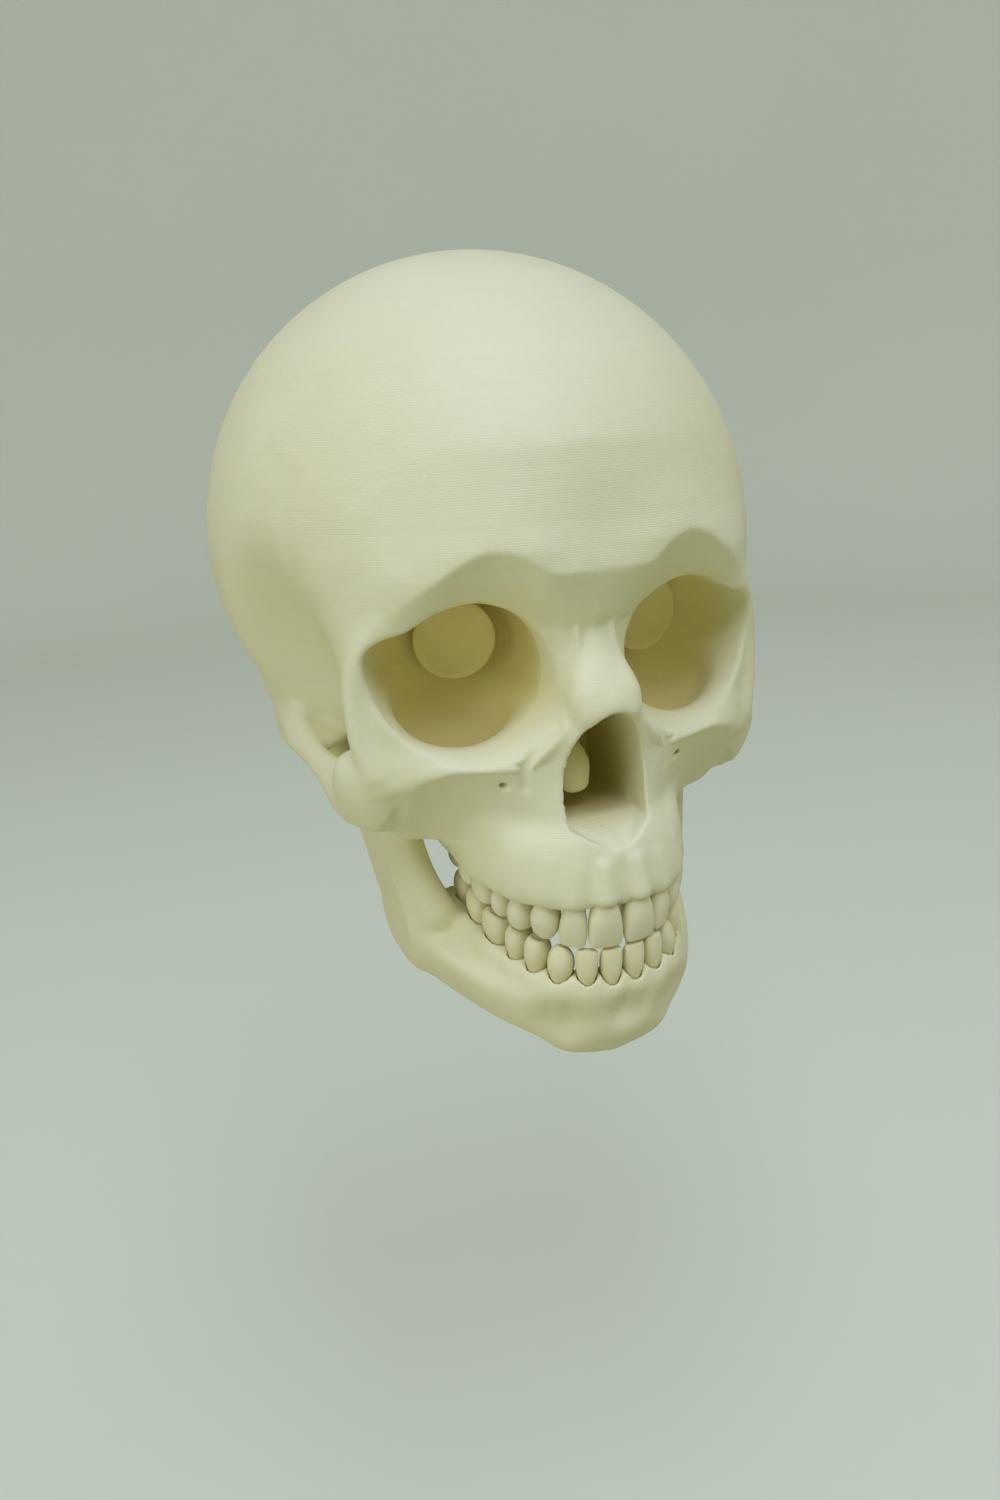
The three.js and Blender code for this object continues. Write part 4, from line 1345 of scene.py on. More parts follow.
class ToothForm(Enum):
    """The kinds of tooth, with their rings.

    Each ring is a height, as a share of the root below the gum or of the crown above
    it, then the width and the depth as shares of the tooth's own, and the squareness
    of its outline.
    """

    INCISOR = (
        (-1.0, 0.42, 0.4, 2.0), (-0.4, 0.62, 0.72, 2.0), (-0.12, 0.72, 0.82, 2.1),
        (0.04, 0.79, 0.89, 2.2), (0.2, 0.89, 0.93, 2.3), (0.4, 0.97, 0.87, 2.5),
        (0.6, 1.0, 0.74, 2.6), (0.78, 0.985, 0.57, 2.7), (0.88, 0.965, 0.45, 2.7),
        (0.95, 0.9, 0.36, 2.6), (0.99, 0.78, 0.28, 2.4),
    )
    CANINE = (
        (-1.0, 0.42, 0.4, 2.0), (-0.4, 0.62, 0.7, 2.0), (-0.12, 0.7, 0.82, 2.0),
        (0.04, 0.77, 0.89, 2.1), (0.2, 0.9, 0.97, 2.2), (0.4, 1.0, 1.0, 2.3),
        (0.6, 0.98, 0.88, 2.4), (0.76, 0.88, 0.7, 2.4), (0.88, 0.7, 0.52, 2.3),
        (0.95, 0.5, 0.38, 2.2), (0.99, 0.32, 0.26, 2.0),
    )
    PREMOLAR = (
        (-1.0, 0.42, 0.4, 2.0), (-0.4, 0.64, 0.66, 2.0), (-0.12, 0.74, 0.78, 2.1),
        (0.04, 0.8, 0.84, 2.2), (0.22, 0.92, 0.94, 2.3), (0.45, 1.0, 1.0, 2.4),
        (0.65, 0.98, 0.96, 2.5), (0.82, 0.9, 0.86, 2.5), (0.93, 0.78, 0.74, 2.4),
        (0.99, 0.62, 0.6, 2.3),
    )
    MOLAR = (
        (-1.0, 0.5, 0.5, 2.1), (-0.4, 0.7, 0.72, 2.2), (-0.12, 0.8, 0.8, 2.4),
        (0.04, 0.86, 0.86, 2.6), (0.22, 0.95, 0.95, 2.8), (0.45, 1.0, 1.0, 3.0),
        (0.65, 0.99, 0.98, 3.0), (0.82, 0.94, 0.92, 3.0), (0.93, 0.85, 0.83, 2.8),
        (0.99, 0.74, 0.71, 2.6),
    )


@dataclass(frozen=True)
class ToothPlan:
    """One tooth's sizes, in millimetres, and its lean towards the lip in degrees."""

    name: str
    form: ToothForm
    width: float
    depth: float
    crown: float
    root: float
    lean: float


UPPER_PLANS = (
    ToothPlan("central_incisor", ToothForm.INCISOR, 8.4, 7, 10.4, 10, 10),
    ToothPlan("lateral_incisor", ToothForm.INCISOR, 6.8, 6.2, 9.4, 10, 10),
    ToothPlan("canine", ToothForm.CANINE, 7.1, 7.4, 9.6, 11, 6),
    ToothPlan("first_premolar", ToothForm.PREMOLAR, 6.5, 8.2, 8, 9, 2),
    ToothPlan("second_premolar", ToothForm.PREMOLAR, 6, 8.2, 7.6, 9, 0),
    ToothPlan("first_molar", ToothForm.MOLAR, 9, 9.4, 7, 8, 0),
    ToothPlan("second_molar", ToothForm.MOLAR, 8.8, 9.2, 6.6, 8, 0),
    ToothPlan("third_molar", ToothForm.MOLAR, 8, 8.8, 6.2, 7, 0),
)
LOWER_PLANS = (
    ToothPlan("central_incisor", ToothForm.INCISOR, 5.5, 5.6, 8.6, 9, 4),
    ToothPlan("lateral_incisor", ToothForm.INCISOR, 5.5, 5.8, 8.6, 9, 4),
    ToothPlan("canine", ToothForm.CANINE, 6.4, 6.8, 9.2, 10, 2),
    ToothPlan("first_premolar", ToothForm.PREMOLAR, 6, 7, 8.2, 9, 0),
    ToothPlan("second_premolar", ToothForm.PREMOLAR, 6.1, 7.4, 7.8, 9, 0),
    ToothPlan("first_molar", ToothForm.MOLAR, 9.2, 8.8, 7, 8, -2),
    ToothPlan("second_molar", ToothForm.MOLAR, 9.2, 8.6, 6.6, 8, -4),
    ToothPlan("third_molar", ToothForm.MOLAR, 8.8, 8.4, 6.2, 7, -6),
)


@dataclass(frozen=True)
class Tooth:
    """One tooth in its place: the middle of its biting edge and its three ways."""

    plan: ToothPlan
    tip: Grid
    along: Grid
    lip: Grid
    crown_way: Grid
    shown_root: float = 0.35
    edge_height: float = 0.99
    sides: int = 28
    cap_shares: tuple[float, ...] = (0.9, 0.74, 0.55, 0.35, 0.16)

    def ring(self, height: Grid) -> tuple[Grid, Grid, Grid]:
        """Half width, half depth and squareness at heights above the gum, in millimetres.

        Args:
            height: The heights.

        Returns:
            Three values for each height.
        """
        rows = np.array(self.plan.form.value)
        knots = np.where(rows[:, 0] < 0, rows[:, 0] * self.plan.root, rows[:, 0] * self.plan.crown)
        a, b, n = through(knots, rows[:, 1:].T, height)
        return a * self.plan.width / 2, b * self.plan.depth / 2, n

    def mesh(self) -> Mesh:
        """The tooth's points in the skull's frame, and its faces.

        Returns:
            The points and the faces.
        """
        plan, sides = self.plan, self.sides
        low, high = -self.shown_root * plan.root, self.edge_height * plan.crown
        rising = high * (1 - np.linspace(1, 0, 16) ** 1.6)  # closer together at the edge
        heights = np.concatenate([np.linspace(low, 0, 5)[:-1], rising])
        angle = np.arange(sides) * 2 * np.pi / sides
        c, s = np.cos(angle), np.sin(angle)
        places = []
        for h, a, b, n in zip(heights, *self.ring(heights)):
            reach = (np.abs(c) ** n + np.abs(s) ** n) ** (-1 / n)
            places.append(np.stack([a * c * reach, b * s * reach, np.full(sides, h)], 1))
        edge = places[-1]
        for share in self.cap_shares:
            ring = edge * np.array([share, share, 1])
            rise = (plan.crown - high) * (1 - share**2) ** 0.5
            ring[:, 2] += rise - self.groove(ring[:, 0], ring[:, 1], share)
            places.append(ring)
        ends = np.array([[0, 0, plan.crown - self.groove(0.0, 0.0, 0.0)], [0, 0, low]])
        top = len(places) * sides
        last = top - sides
        faces = between_rings(len(places), sides)
        faces += [[last + j, last + (j + 1) % sides, top] for j in range(sides)]
        faces += [[(j + 1) % sides, j, top + 1] for j in range(sides)]
        return self.place(np.concatenate([*places, ends])), faces

    def groove(self, u: Grid | float, v: Grid | float, share: float) -> Grid | float:
        """How far the biting face lies below the tip, with its valleys between the cusps.

        Args:
            u: How far along the arch the places lie from the tooth's middle.
            v: How far outwards.
            share: Their share of the way from the middle to the edge.

        Returns:
            The depth at each place.
        """
        plan = self.plan
        if plan.form in (ToothForm.INCISOR, ToothForm.CANINE):
            return 0.0
        deep = (1 - share) ** 0.7
        across = np.exp(-((v / (0.13 * plan.depth)) ** 2))
        if plan.form is ToothForm.PREMOLAR:
            return 1.3 * deep * across
        along = np.exp(-((u / (0.10 * plan.width)) ** 2))
        return 1.35 * deep * np.maximum(across, 0.8 * along)

    def place(self, local: Grid) -> Grid:
        """Points across, outwards and above the gum as points in the skull's frame.

        Args:
            local: The points, one in each row.

        Returns:
            The same points in the skull's frame.
        """
        across = np.outer(local[:, 0], self.along)
        out = np.outer(local[:, 1], self.lip)
        return self.tip + across + out + np.outer(local[:, 2] - self.plan.crown, self.crown_way)

    def at(self, out: float, height: float) -> Grid:
        """A place this far outwards from the tooth's axis and above the gum."""
        return self.place(np.array([[0, out, height]]))[0]

    def swell(self, share: float) -> Quad:
        """A place and radius of the bone's swell over the root, this share of the way down it.

        Args:
            share: The share, from 0 to 1.

        Returns:
            The place's x, y and z, and the radius.
        """
        plan = self.plan
        place = self.at(plan.depth * 0.24 * (1 - 0.4 * share), -3 - (plan.root - 3) * share)
        return *place, plan.width * (0.33 - 0.12 * share)


@dataclass(frozen=True)
class ToothBed(Shape):
    """The hollow that a tooth sits in."""

    tooth: Tooth
    growth: float = 0.25
    depth_share: float = 0.4
    overrun: float = 2.0

    def reach(self) -> Box:
        """A box round the tooth.

        Returns:
            Its lowest and its highest corner.
        """
        plan = self.tooth.plan
        ends = self.tooth.at(0, -plan.root), self.tooth.at(0, plan.crown)
        pad = max(plan.width, plan.depth) / 2 + 1
        return np.minimum(*ends) - pad, np.maximum(*ends) + pad

    def distance(self, x: Grid, y: Grid, z: Grid) -> Grid:
        """The distance from the tooth's own surface, grown.

        Args:
            x: The places' X.
            y: Their Y.
            z: Their Z.

        Returns:
            The distances.
        """
        t = self.tooth
        q = [x - t.tip[0], y - t.tip[1], z - t.tip[2]]
        u, v, h = (sum(c * k for c, k in zip(q, way)) for way in (t.along, t.lip, t.crown_way))
        h = h + t.plan.crown
        low, high = -self.depth_share * t.plan.root, t.plan.crown
        table = np.linspace(low, high, 40)
        half, deep, square = t.ring(table)
        a = np.interp(h, table, half) + self.growth
        b = np.interp(h, table, deep) + self.growth
        n = np.interp(h, table, square)
        near = (np.abs(u / a) ** n + np.abs(v / b) ** n) ** (1 / n)
        ends = np.maximum(low - h, h - high - self.overrun)
        return np.maximum((near - 1) * np.minimum(a, b), ends)


@dataclass(frozen=True)
class DentalArch:
    """The curve that both rows of teeth stand on, and the plane that they meet in."""

    half_width: float = 22.63
    half_depth: float = 44.804
    centre_y: float = -50.14
    squareness: float = 2.6
    front_z: float = -49.32
    slope: float = 0.16
    bite_gap: float = 0.7
    tooth_gap: float = 0.5
    swell_blend: float = 2.6
    bed_blend: float = 0.4
    steps: int = 200

    def place(self, distance: float, side: int) -> tuple[float, float, Grid]:
        """The place this far along the arch from its middle, and the way along it.

        Args:
            distance: The distance along the arch.
            side: The side's sign.

        Returns:
            The place's x and y, and the way.
        """
        t = np.arange(self.steps + 1) / self.steps * np.pi / 2
        p = 2 / self.squareness
        x, y = self.half_width * np.sin(t) ** p, self.centre_y - self.half_depth * np.cos(t) ** p
        line = np.stack([x, y], 1)
        step = np.linalg.norm(np.diff(line, axis=0), axis=1)
        walked = np.concatenate([[0], np.cumsum(step)])
        if distance >= walked[-1]:
            x, y = line[-1]
            return side * x, y + distance - walked[-1], np.array([0.0, 1.0, 0.0])
        i = int(np.searchsorted(walked, distance, "right")) - 1
        way = (line[i + 1] - line[i]) / step[i]
        point = line[i] + way * (distance - walked[i])
        return side * point[0], point[1], np.array([side * way[0], way[1], 0.0])

    def bite(self, y: float) -> float:
        """The height of the plane that the teeth meet in."""
        return self.front_z + self.slope * (y - (self.centre_y - self.half_depth))

    def tooth(self, plan: ToothPlan, distance: float, side: Side, upper: bool) -> Tooth:
        """A tooth with its middle this far from the arch's middle.

        Args:
            plan: The tooth's sizes.
            distance: The distance.
            side: Its side.
            upper: Whether it is an upper one.

        Returns:
            The tooth.
        """
        s = side.value
        x, y, way = self.place(distance, s)
        along = np.array([way[0], way[1], self.slope * way[1]])
        along /= np.linalg.norm(along)
        upright = np.array([0, -self.slope, 1.0]) / math.hypot(1, self.slope) * (-1 if upper else 1)
        outward = np.cross(along, upright) * (-s if upper else s)
        lean = math.radians(plan.lean)
        tip = np.array([x, y, self.bite(y) + (1 if upper else -1) * self.bite_gap / 2])
        return Tooth(
            plan,
            tip,
            along,
            outward * math.cos(lean) - upright * math.sin(lean),
            upright * math.cos(lean) + outward * math.sin(lean),
        )

    def row(self, plans: Sequence[ToothPlan], side: Side, upper: bool) -> Iterator[Tooth]:
        """One side's teeth, from the middle backwards.

        Args:
            plans: The teeth's sizes, in order.
            side: Their side.
            upper: Whether they are upper ones.

        Returns:
            The teeth, one after the other.
        """
        walked = 0.0
        for plan in plans:
            yield self.tooth(plan, walked + (plan.width + self.tooth_gap) / 2, side, upper)
            walked += plan.width + self.tooth_gap

    def root_in(self, bone: BoneField, plans: Sequence[ToothPlan], upper: bool) -> None:
        """Gives bone the slight swell of each left root, and a hollow for each left tooth.

        Args:
            bone: The bone's left half.
            plans: The teeth's sizes, in order.
            upper: Whether they are upper ones.
        """
        teeth = list(self.row(plans, Side.LEFT, upper))
        for tooth in teeth:
            bone.add(Stroke(tuple(tooth.swell(share) for share in (0, 0.5, 1))), self.swell_blend)
        for tooth in teeth:
            bone.cut(ToothBed(tooth), self.bed_blend)


@dataclass
class Dentition:
    """The teeth of both jaws."""

    arch: DentalArch
    finish: Material
    # painted shade on the lower teeth, as if in the upper ones' shadow
    lower_painted_shade: float = 0.25

    def build(self) -> None:
        """Makes every tooth."""
        for upper, plans, body in ((True, UPPER_PLANS, Body.SKULL), (False, LOWER_PLANS, Body.JAW)):
            jaw = "upper" if upper else "lower"
            for side in Side:
                for tooth in self.arch.row(plans, side, upper):
                    self.make(tooth, f"{jaw}_{side.name.lower()}_{tooth.plan.name}", body)

    def make(self, tooth: Tooth, node: str, body: Body) -> None:
        """Makes one tooth and puts it in its node's place.

        Args:
            tooth: The tooth.
            node: Its node's name.
            body: The body that it belongs to.
        """
        points, faces = tooth.mesh()
        if np.cross(tooth.along, tooth.lip) @ tooth.crown_way < 0:
            faces = flipped(faces)
        made = mesh_object("tooth_" + node, points, faces)
        # painted shade: lower teeth get a share of the shade colour
        FACE.mark_painted_shade(made, 0.0 if body is Body.SKULL else self.lower_painted_shade)
        settle(made, body, Slot.TOOTH, self.finish, node)


# ---------------------------------------------------------------- bone


@dataclass(frozen=True)
class Drum(Shape):
    """An upright round block with softened edges."""

    x: float
    y: float
    radius: float
    low: float
    high: float
    edge: float

    def reach(self) -> Box:
        """A box round it."""
        r = self.radius
        return (self.x - r, self.y - r, self.low), (self.x + r, self.y + r, self.high)

    def distance(self, x: Grid, y: Grid, z: Grid) -> Grid:
        """The rounded drum's distance.

        Args:
            x: The places' X.
            y: Their Y.
            z: Their Z.

        Returns:
            The distances.
        """
        across = np.sqrt((x - self.x) ** 2 + (y - self.y) ** 2) - self.radius + self.edge
        up = np.maximum(self.low - z, z - self.high) + self.edge
        return rounded(across, up, self.edge)


@dataclass(frozen=True)
class Pit(Shape):
    """A hollow that runs back from a ring-shaped mouth, as wide at each depth as a profile says."""

    ring: tuple[Pair, ...]
    mouth: Triple
    back: Triple
    profile: tuple[Pair, ...]
    lead: float = 16.0
    end_blend: float = 7.0

    def reach(self) -> Box:
        """A box round it.

        Returns:
            Its lowest and its highest corner.
        """
        o = np.asarray(self.ring, float) * 1.2
        x, y, z = self.mouth
        low = (x + o[:, 0].min() - 6, y - self.lead, z + o[:, 1].min() - 2)
        return low, (x + o[:, 0].max() + 2, self.back[1], z + o[:, 1].max() + 7)

    def distance(self, x: Grid, y: Grid, z: Grid) -> Grid:
        """A close estimate from the ring's radius in the direction of each place.

        Args:
            x: The places' X.
            y: Their Y.
            z: Their Z.

        Returns:
            The distances.
        """
        run = self.back[1] - self.mouth[1]
        share = np.clip((y - self.mouth[1]) / run, -1, 1)
        u = x - self.mouth[0] - share * (self.back[0] - self.mouth[0])
        v = z - self.mouth[2] - share * (self.back[2] - self.mouth[2])
        ring = rounded_ring(self.ring, 8)
        turn = np.arctan2(ring[:, 1], ring[:, 0])
        order = np.argsort(turn)
        turn, far = turn[order], np.hypot(*ring[order].T)
        turn = np.concatenate([turn - 2 * np.pi, turn, turn + 2 * np.pi])
        limit = np.interp(np.arctan2(v, u), turn, np.tile(far, 3))
        deep, scale = np.asarray(self.profile, float).T
        wide = np.interp(y - self.mouth[1], deep, scale)
        return soft_max(np.sqrt(u * u + v * v) - limit * wide, y - self.back[1], self.end_blend)


@dataclass(frozen=True)
class Chamfer(Shape):
    """A slope cut across the middle from an edge down to a foot (y, z), narrower at its foot.

    Its sides are left ragged, by so much and so often on each millimetre.
    """

    edge: Pair
    foot: Pair
    half: float
    narrowing: float = 0.72
    rag: float = 0.5
    rag_rate: float = 0.9
    side_slope: float = 0.8
    margin: float = 1.0

    def reach(self) -> Box:
        """A box round it."""
        low = (0.0, self.foot[0] - 4 * self.margin, self.foot[1] - self.margin)
        return low, (self.half, self.edge[0], self.edge[1] + 3 * self.margin)

    def distance(self, x: Grid, y: Grid, z: Grid) -> Grid:
        """The distance from the slope or its sides, below zero before it.

        Args:
            x: The places' X.
            y: Their Y.
            z: Their Z.

        Returns:
            The distances.
        """
        run, drop = self.edge[0] - self.foot[0], self.edge[1] - self.foot[1]
        long = math.hypot(run, drop)
        before = ((y - self.edge[0]) * drop - (z - self.edge[1]) * run) / long
        share = np.clip((self.edge[1] - z) / drop, 0, 1.2)
        ragged = self.rag * np.abs((z * self.rag_rate) % 2 - 1)
        sides = (x - self.half * (1 - self.narrowing * share) - ragged) * self.side_slope
        return np.maximum(np.maximum(before, sides), self.foot[1] - self.margin - z)


@dataclass(frozen=True)
class InFrontOf(Shape):
    """All that lies before a face relief, between two heights."""

    relief: FaceRelief
    low: float
    high: float
    wide: float = 62.0
    front: float = -110.0
    back: float = -38.0

    def reach(self) -> Box:
        """A box round the part that is tested."""
        return (0, self.front, self.low), (self.wide, self.back, self.high)

    def distance(self, x: Grid, y: Grid, z: Grid) -> Grid:
        """The distance from the relief, below zero in front of it."""
        return -self.relief.ahead(x, y, z)


@dataclass(frozen=True)
class Facet(Shape):
    """A flat cut into a face relief, sloping back under a crisp edge.

    Its knots are x, the height of the edge, the height of the foot, and how far
    forward the face stands at the foot. Below is how fast it comes forward again
    under the foot, and wall how fast over the edge and past the ends.
    """

    relief: FaceRelief
    knots: tuple[Quad, ...]
    below: float
    wall: float = 3.0
    steepest: float = 8.0

    def reach(self) -> Box:
        """A box round it."""
        k = np.asarray(self.knots)
        return (k[0, 0], -110, k[:, 2].min() - 6), (k[-1, 0] + 1, -50, k[:, 1].max() + 2)

    def distance(self, x: Grid, y: Grid, z: Grid) -> Grid:
        """The distance from the cut face, below zero in front of it.

        Args:
            x: The places' X.
            y: Their Y.
            z: Their Z.

        Returns:
            The distances.
        """
        k = np.asarray(self.knots, float)
        u, w = x.ravel(), z.ravel()
        edge, foot, depth = through(k[:, 0], k[:, 1:].T, u)[:, :, None]
        front = self.relief.front(x, z)
        brim = np.array([np.interp(e, w, row) for e, row in zip(edge[:, 0], front)])[:, None]
        face = brim + (depth - brim) * np.clip((edge - w) / (edge - foot), 0, 1)
        face = face + np.maximum(w - edge, 0) * self.wall
        face = face + np.maximum(foot - w, 0) * self.below
        past = np.maximum(np.maximum(u - k[-1, 0], k[0, 0] - u), 0)
        face = face + past[:, None] * self.wall
        slope = np.gradient(face, u, axis=0) ** 2 + np.gradient(face, w, axis=1) ** 2
        steep = np.sqrt(1 + np.minimum(slope, self.steepest))
        return (face[:, None, :] + y) / steep[:, None, :]


FACE = FaceRelief(
    across=(0, 6, 12, 20, 28, 36, 44, 50, 56, 62),
    heights=(78, 69, 60, 50, 45, 40, 34, 26, 18, 9, 3, -4, -7.5, -12, -18, -24, -32, -40),
    forward=(
        (84.4, 84.1, 83, 80.4, 76.3, 70.4, 62.1, 53.8, 42.2, 30),
        (88.6, 88.3, 87.2, 84.8, 80.9, 75.5, 68.1, 60.8, 51.2, 37.6),
        (90.6, 90.4, 89.5, 87.4, 84, 79.1, 72.7, 66.5, 57, 46),
        (92, 92.1, 91.8, 90.3, 87.3, 82.5, 75.6, 69.3, 61, 50),
        (93, 93.3, 93.2, 91.6, 88.9, 84.3, 77.2, 70.4, 62, 50),
        (93.8, 94, 93.4, 91.8, 89.2, 85.2, 78.4, 70.8, 62, 50),
        (92.6, 92.4, 91.8, 90, 87.5, 84.2, 78.2, 71, 61, 48),
        (88, 86.4, 85.4, 84.5, 82.5, 80, 76, 71, 60.5, 46),
        (91, 88.4, 85.4, 82, 80.5, 79, 75, 70.6, 61.5, 46),
        (97, 93.8, 88, 83, 81, 78.6, 74.6, 70, 61.5, 46),
        (97, 94, 89, 84.2, 80.5, 77.4, 74, 69.8, 61.5, 46),
        (94, 92, 88.2, 85, 82.4, 79.6, 75.4, 70, 61.5, 46),
        (92.6, 91.4, 88, 84.8, 82.2, 79.2, 75, 69.6, 61, 46),
        (92.4, 91.2, 88.2, 83.2, 78.5, 75.5, 71.6, 67, 60, 45),
        (93.6, 92, 88.8, 82.2, 75, 70.5, 67, 63, 57, 43),
        (94.4, 93, 89.6, 82.2, 71, 65, 61, 57, 50, 40),
        (94.8, 94, 91.2, 83.6, 68, 58, 54, 50, 44, 38),
        (95.6, 94.8, 92, 84.4, 68, 56, 52, 48, 44, 38),
    ),
    back=(40, 40, 40, 42, 47, 51, 54, 55.5, 56.5, 57),
    outline=(
        (0, 66), (30, 63), (44, 58), (52, 48), (57, 38), (57.5, 20), (57.5, 2), (58, -7),
        (55, -17), (48, -24.5), (42, -27), (36, -27), (31, -29), (28, -33), (25, -36), (0, -37),
    ),
)
BROW_FACET = Facet(
    FACE,
    (
        (0, 39.8, 26.2, 88.2), (6, 39.8, 26.6, 86.4), (12, 40.4, 28, 84), (15, 42.4, 29.6, 82.8),
        (18.5, 44.8, 31.2, 82.4), (24, 46.2, 33.2, 82), (29, 44.6, 33.8, 81.4),
        (35, 40.8, 32.6, 80.2), (41, 36.4, 30.2, 78), (46, 32, 27.6, 75.2),
    ),
    2.4,
)
CHEEK_FACET = Facet(
    FACE,
    (
        (13, -2.5, -18, 88.6), (17, -4.8, -21, 83.6), (21, -5.4, -24, 78.6), (28, -4.8, -26, 69),
        (33, -4.6, -26, 65), (37, -5.4, -26.5, 62), (41, -7, -27, 60), (44, -11, -27.4, 58.6),
        (47, -17, -28, 57.4), (50, -23, -29, 56),
    ),
    0.2,
)


@dataclass
class Cranium:
    """The braincase and the face, one print."""

    arch: DentalArch
    finish: Material
    fine: float = 0.7
    coarse: float = 2.0
    draft: Pair = (1.3, 2.6)
    vault: Dome = Dome((0, -3.2, 41.7), (72.8, 91.5, 74.0), 67.7)
    stand: Pair = (0.0, 11.96)
    socket_hole: float = 15.1
    eye: Pit = Pit(
        ring=(
            (11.6, 10.6), (3, 14.6), (-6, 15.2), (-15.2, 10.6), (-19.6, 2.4), (-18.6, -8),
            (-11.4, -15.6), (-1.6, -19), (10, -17.6), (17.4, -12.6), (21.8, -4.6), (22.4, 3.6),
            (18.4, 8),
        ),
        mouth=(29.5, -77, 18.5),
        back=(25.2, -56.8, 22.4),
        profile=(
            (-16, 1.24), (-8, 1.13), (-3, 1.05), (0, 1), (3, 0.99), (7, 0.97), (12, 0.9),
            (17, 0.78), (21, 0.62),
        ),
    )
    nose: Tunnel = Tunnel(
        outline=(
            (0, 8.6), (3.4, 7.6), (6.4, 4.6), (8.6, 0.6), (10, -4.6), (10.7, -10.4),
            (10.5, -15.6), (9.8, -18.8), (8.8, -19.6), (0, -19.8),
        ),
        front=-110,
        back=-57,
        edge=1.1,
        narrowing=0.6,
    )

    def field_of_bone(self) -> BoneField:
        """The whole left half as a field.

        Returns:
            The field.
        """
        f, c = ((self.fine, self.coarse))
        bone = BoneField(
            xs=graded((0, 57, f), (57, 77, c)),
            ys=graded((-106, -42, f), (-42, 94, c)),
            zs=graded((-50, 46, f), (46, 119, c)),
        )
        self.head(bone)
        self.temple(bone)
        self.face(bone)
        self.cheek(bone)
        self.base(bone)
        self.upper_jaw(bone)
        self.eye_socket(bone)
        self.nasal(bone)
        self.joint_and_ear(bone)
        return bone

    def head(self, bone: BoneField) -> None:
        """The vault, with a ridge and a swell across the nape.

        Args:
            bone: The bone to shape.
        """
        nape = ((0, 73, 6, 2.2), (14, 71.4, 6.6, 2), (28, 66, 6.6, 1.8), (42, 54, 5, 1.4))
        bone.add(self.vault, 0)
        bone.add(Stroke(nape, (1, 1, 0.8)), 6)
        bone.add(Ball((0, 72.4, 5), (7.5, 3.2, 5)), 6)

    def temple(self, bone: BoneField) -> None:
        """The shallow hollow behind the edge of the forehead.

        Args:
            bone: The bone to shape.
        """
        bone.add(FACE, 3)
        bone.cut(InFrontOf(FACE, 12, 78), 0)
        bone.cut(Ball((71, -43, -2), (23.5, 26.5, 47), (0, 8, 0)), 12)
        bone.cut(Ball((62.4, -50.5, 15), (8.6, 10.4, 23), (0, 6, 0)), 1.6)

    def face(self, bone: BoneField) -> None:
        """The flat undersides of the brow and the cheeks, and the light lower rims between.

        Args:
            bone: The bone to shape.
        """
        outer_rim = (
            (45, -72.5, 30, 2.4), (49.4, -69, 24, 2.6), (52.4, -66.6, 14, 2.4),
            (51.8, -66.8, 4, 2.8), (49, -68.4, -5, 3.2),
        )
        lower_rim = (
            (10.5, -89.4, 5, 1.0), (14, -87.4, -0.6, 1.1), (20, -84.4, -3.6, 1.2),
            (30, -80.8, -3.8, 1.2), (40, -76, -5, 1.3), (48, -69.6, -9, 1.4),
        )
        groove = ((12, 5.4), (15.2, 1.4), (17.6, -2.4), (18.8, -5.6), (18.8, -10))
        nicks = ((14.2, 3), (16, 0.6), (17.4, -1.8), (18.6, -4.2), (19.4, -6.6))
        bone.cut(BROW_FACET, 0.25)
        bone.add(Stroke(outer_rim), 3.5)
        bone.add(Stroke(lower_rim), 2.0)
        bone.cut(CHEEK_FACET, 0.25)
        bone.cut(Stroke(((*FACE.point(22, -9.6, 0.9), 1.1), (24, -78, -7, 0.6))), 0.5)
        bone.cut(Stroke(tuple((*FACE.point(x, z, 0.5), 1.3) for x, z in groove)), 0.5)
        for x, z in nicks:
            inner, outer = FACE.point(x, z, 0.2), FACE.point(x + 3.2, z + 1.4, 0.9)
            bone.cut(Stroke(((*inner, 0.8), (*outer, 0.4))), 0.2)

    def cheek(self, bone: BoneField) -> None:
        """The cheekbone and the arch that runs from it to the ear.

        Args:
            bone: The bone to shape.
        """
        arch = (
            (48, -63, -11.5, 4.4), (53.2, -53, -13.4, 4.1), (55.9, -38.6, -12, 3.3),
            (57, -23.9, -8.8, 3.0), (56.6, -12, -5.6, 3.1), (55.6, 0, -3, 4.0),
        )
        over_ear = ((56, -13, -4.8, 3.2), (55.6, -2, -3, 4.2), (56, 10, 0.4, 5), (57, 24, 5, 4))
        bone.add(Ball((50.4, -60.5, -11), (6.2, 9, 11), (0, 18, -28)), 3)
        bone.cut(CHEEK_FACET, 0.25)
        bone.add(Stroke(arch, (1, 1, 0.5), 5), 2.2)
        bone.add(Ball((52.6, -19, -6.8), (8.4, 13, 3.6), (0, 8, 0)), 3)
        bone.add(Stroke(over_ear, (1, 1, 0.8)), 6)
        bone.cut(Ball((58.6, -21, 0.4), (2.4, 2.2, 1.5)), 0.8)

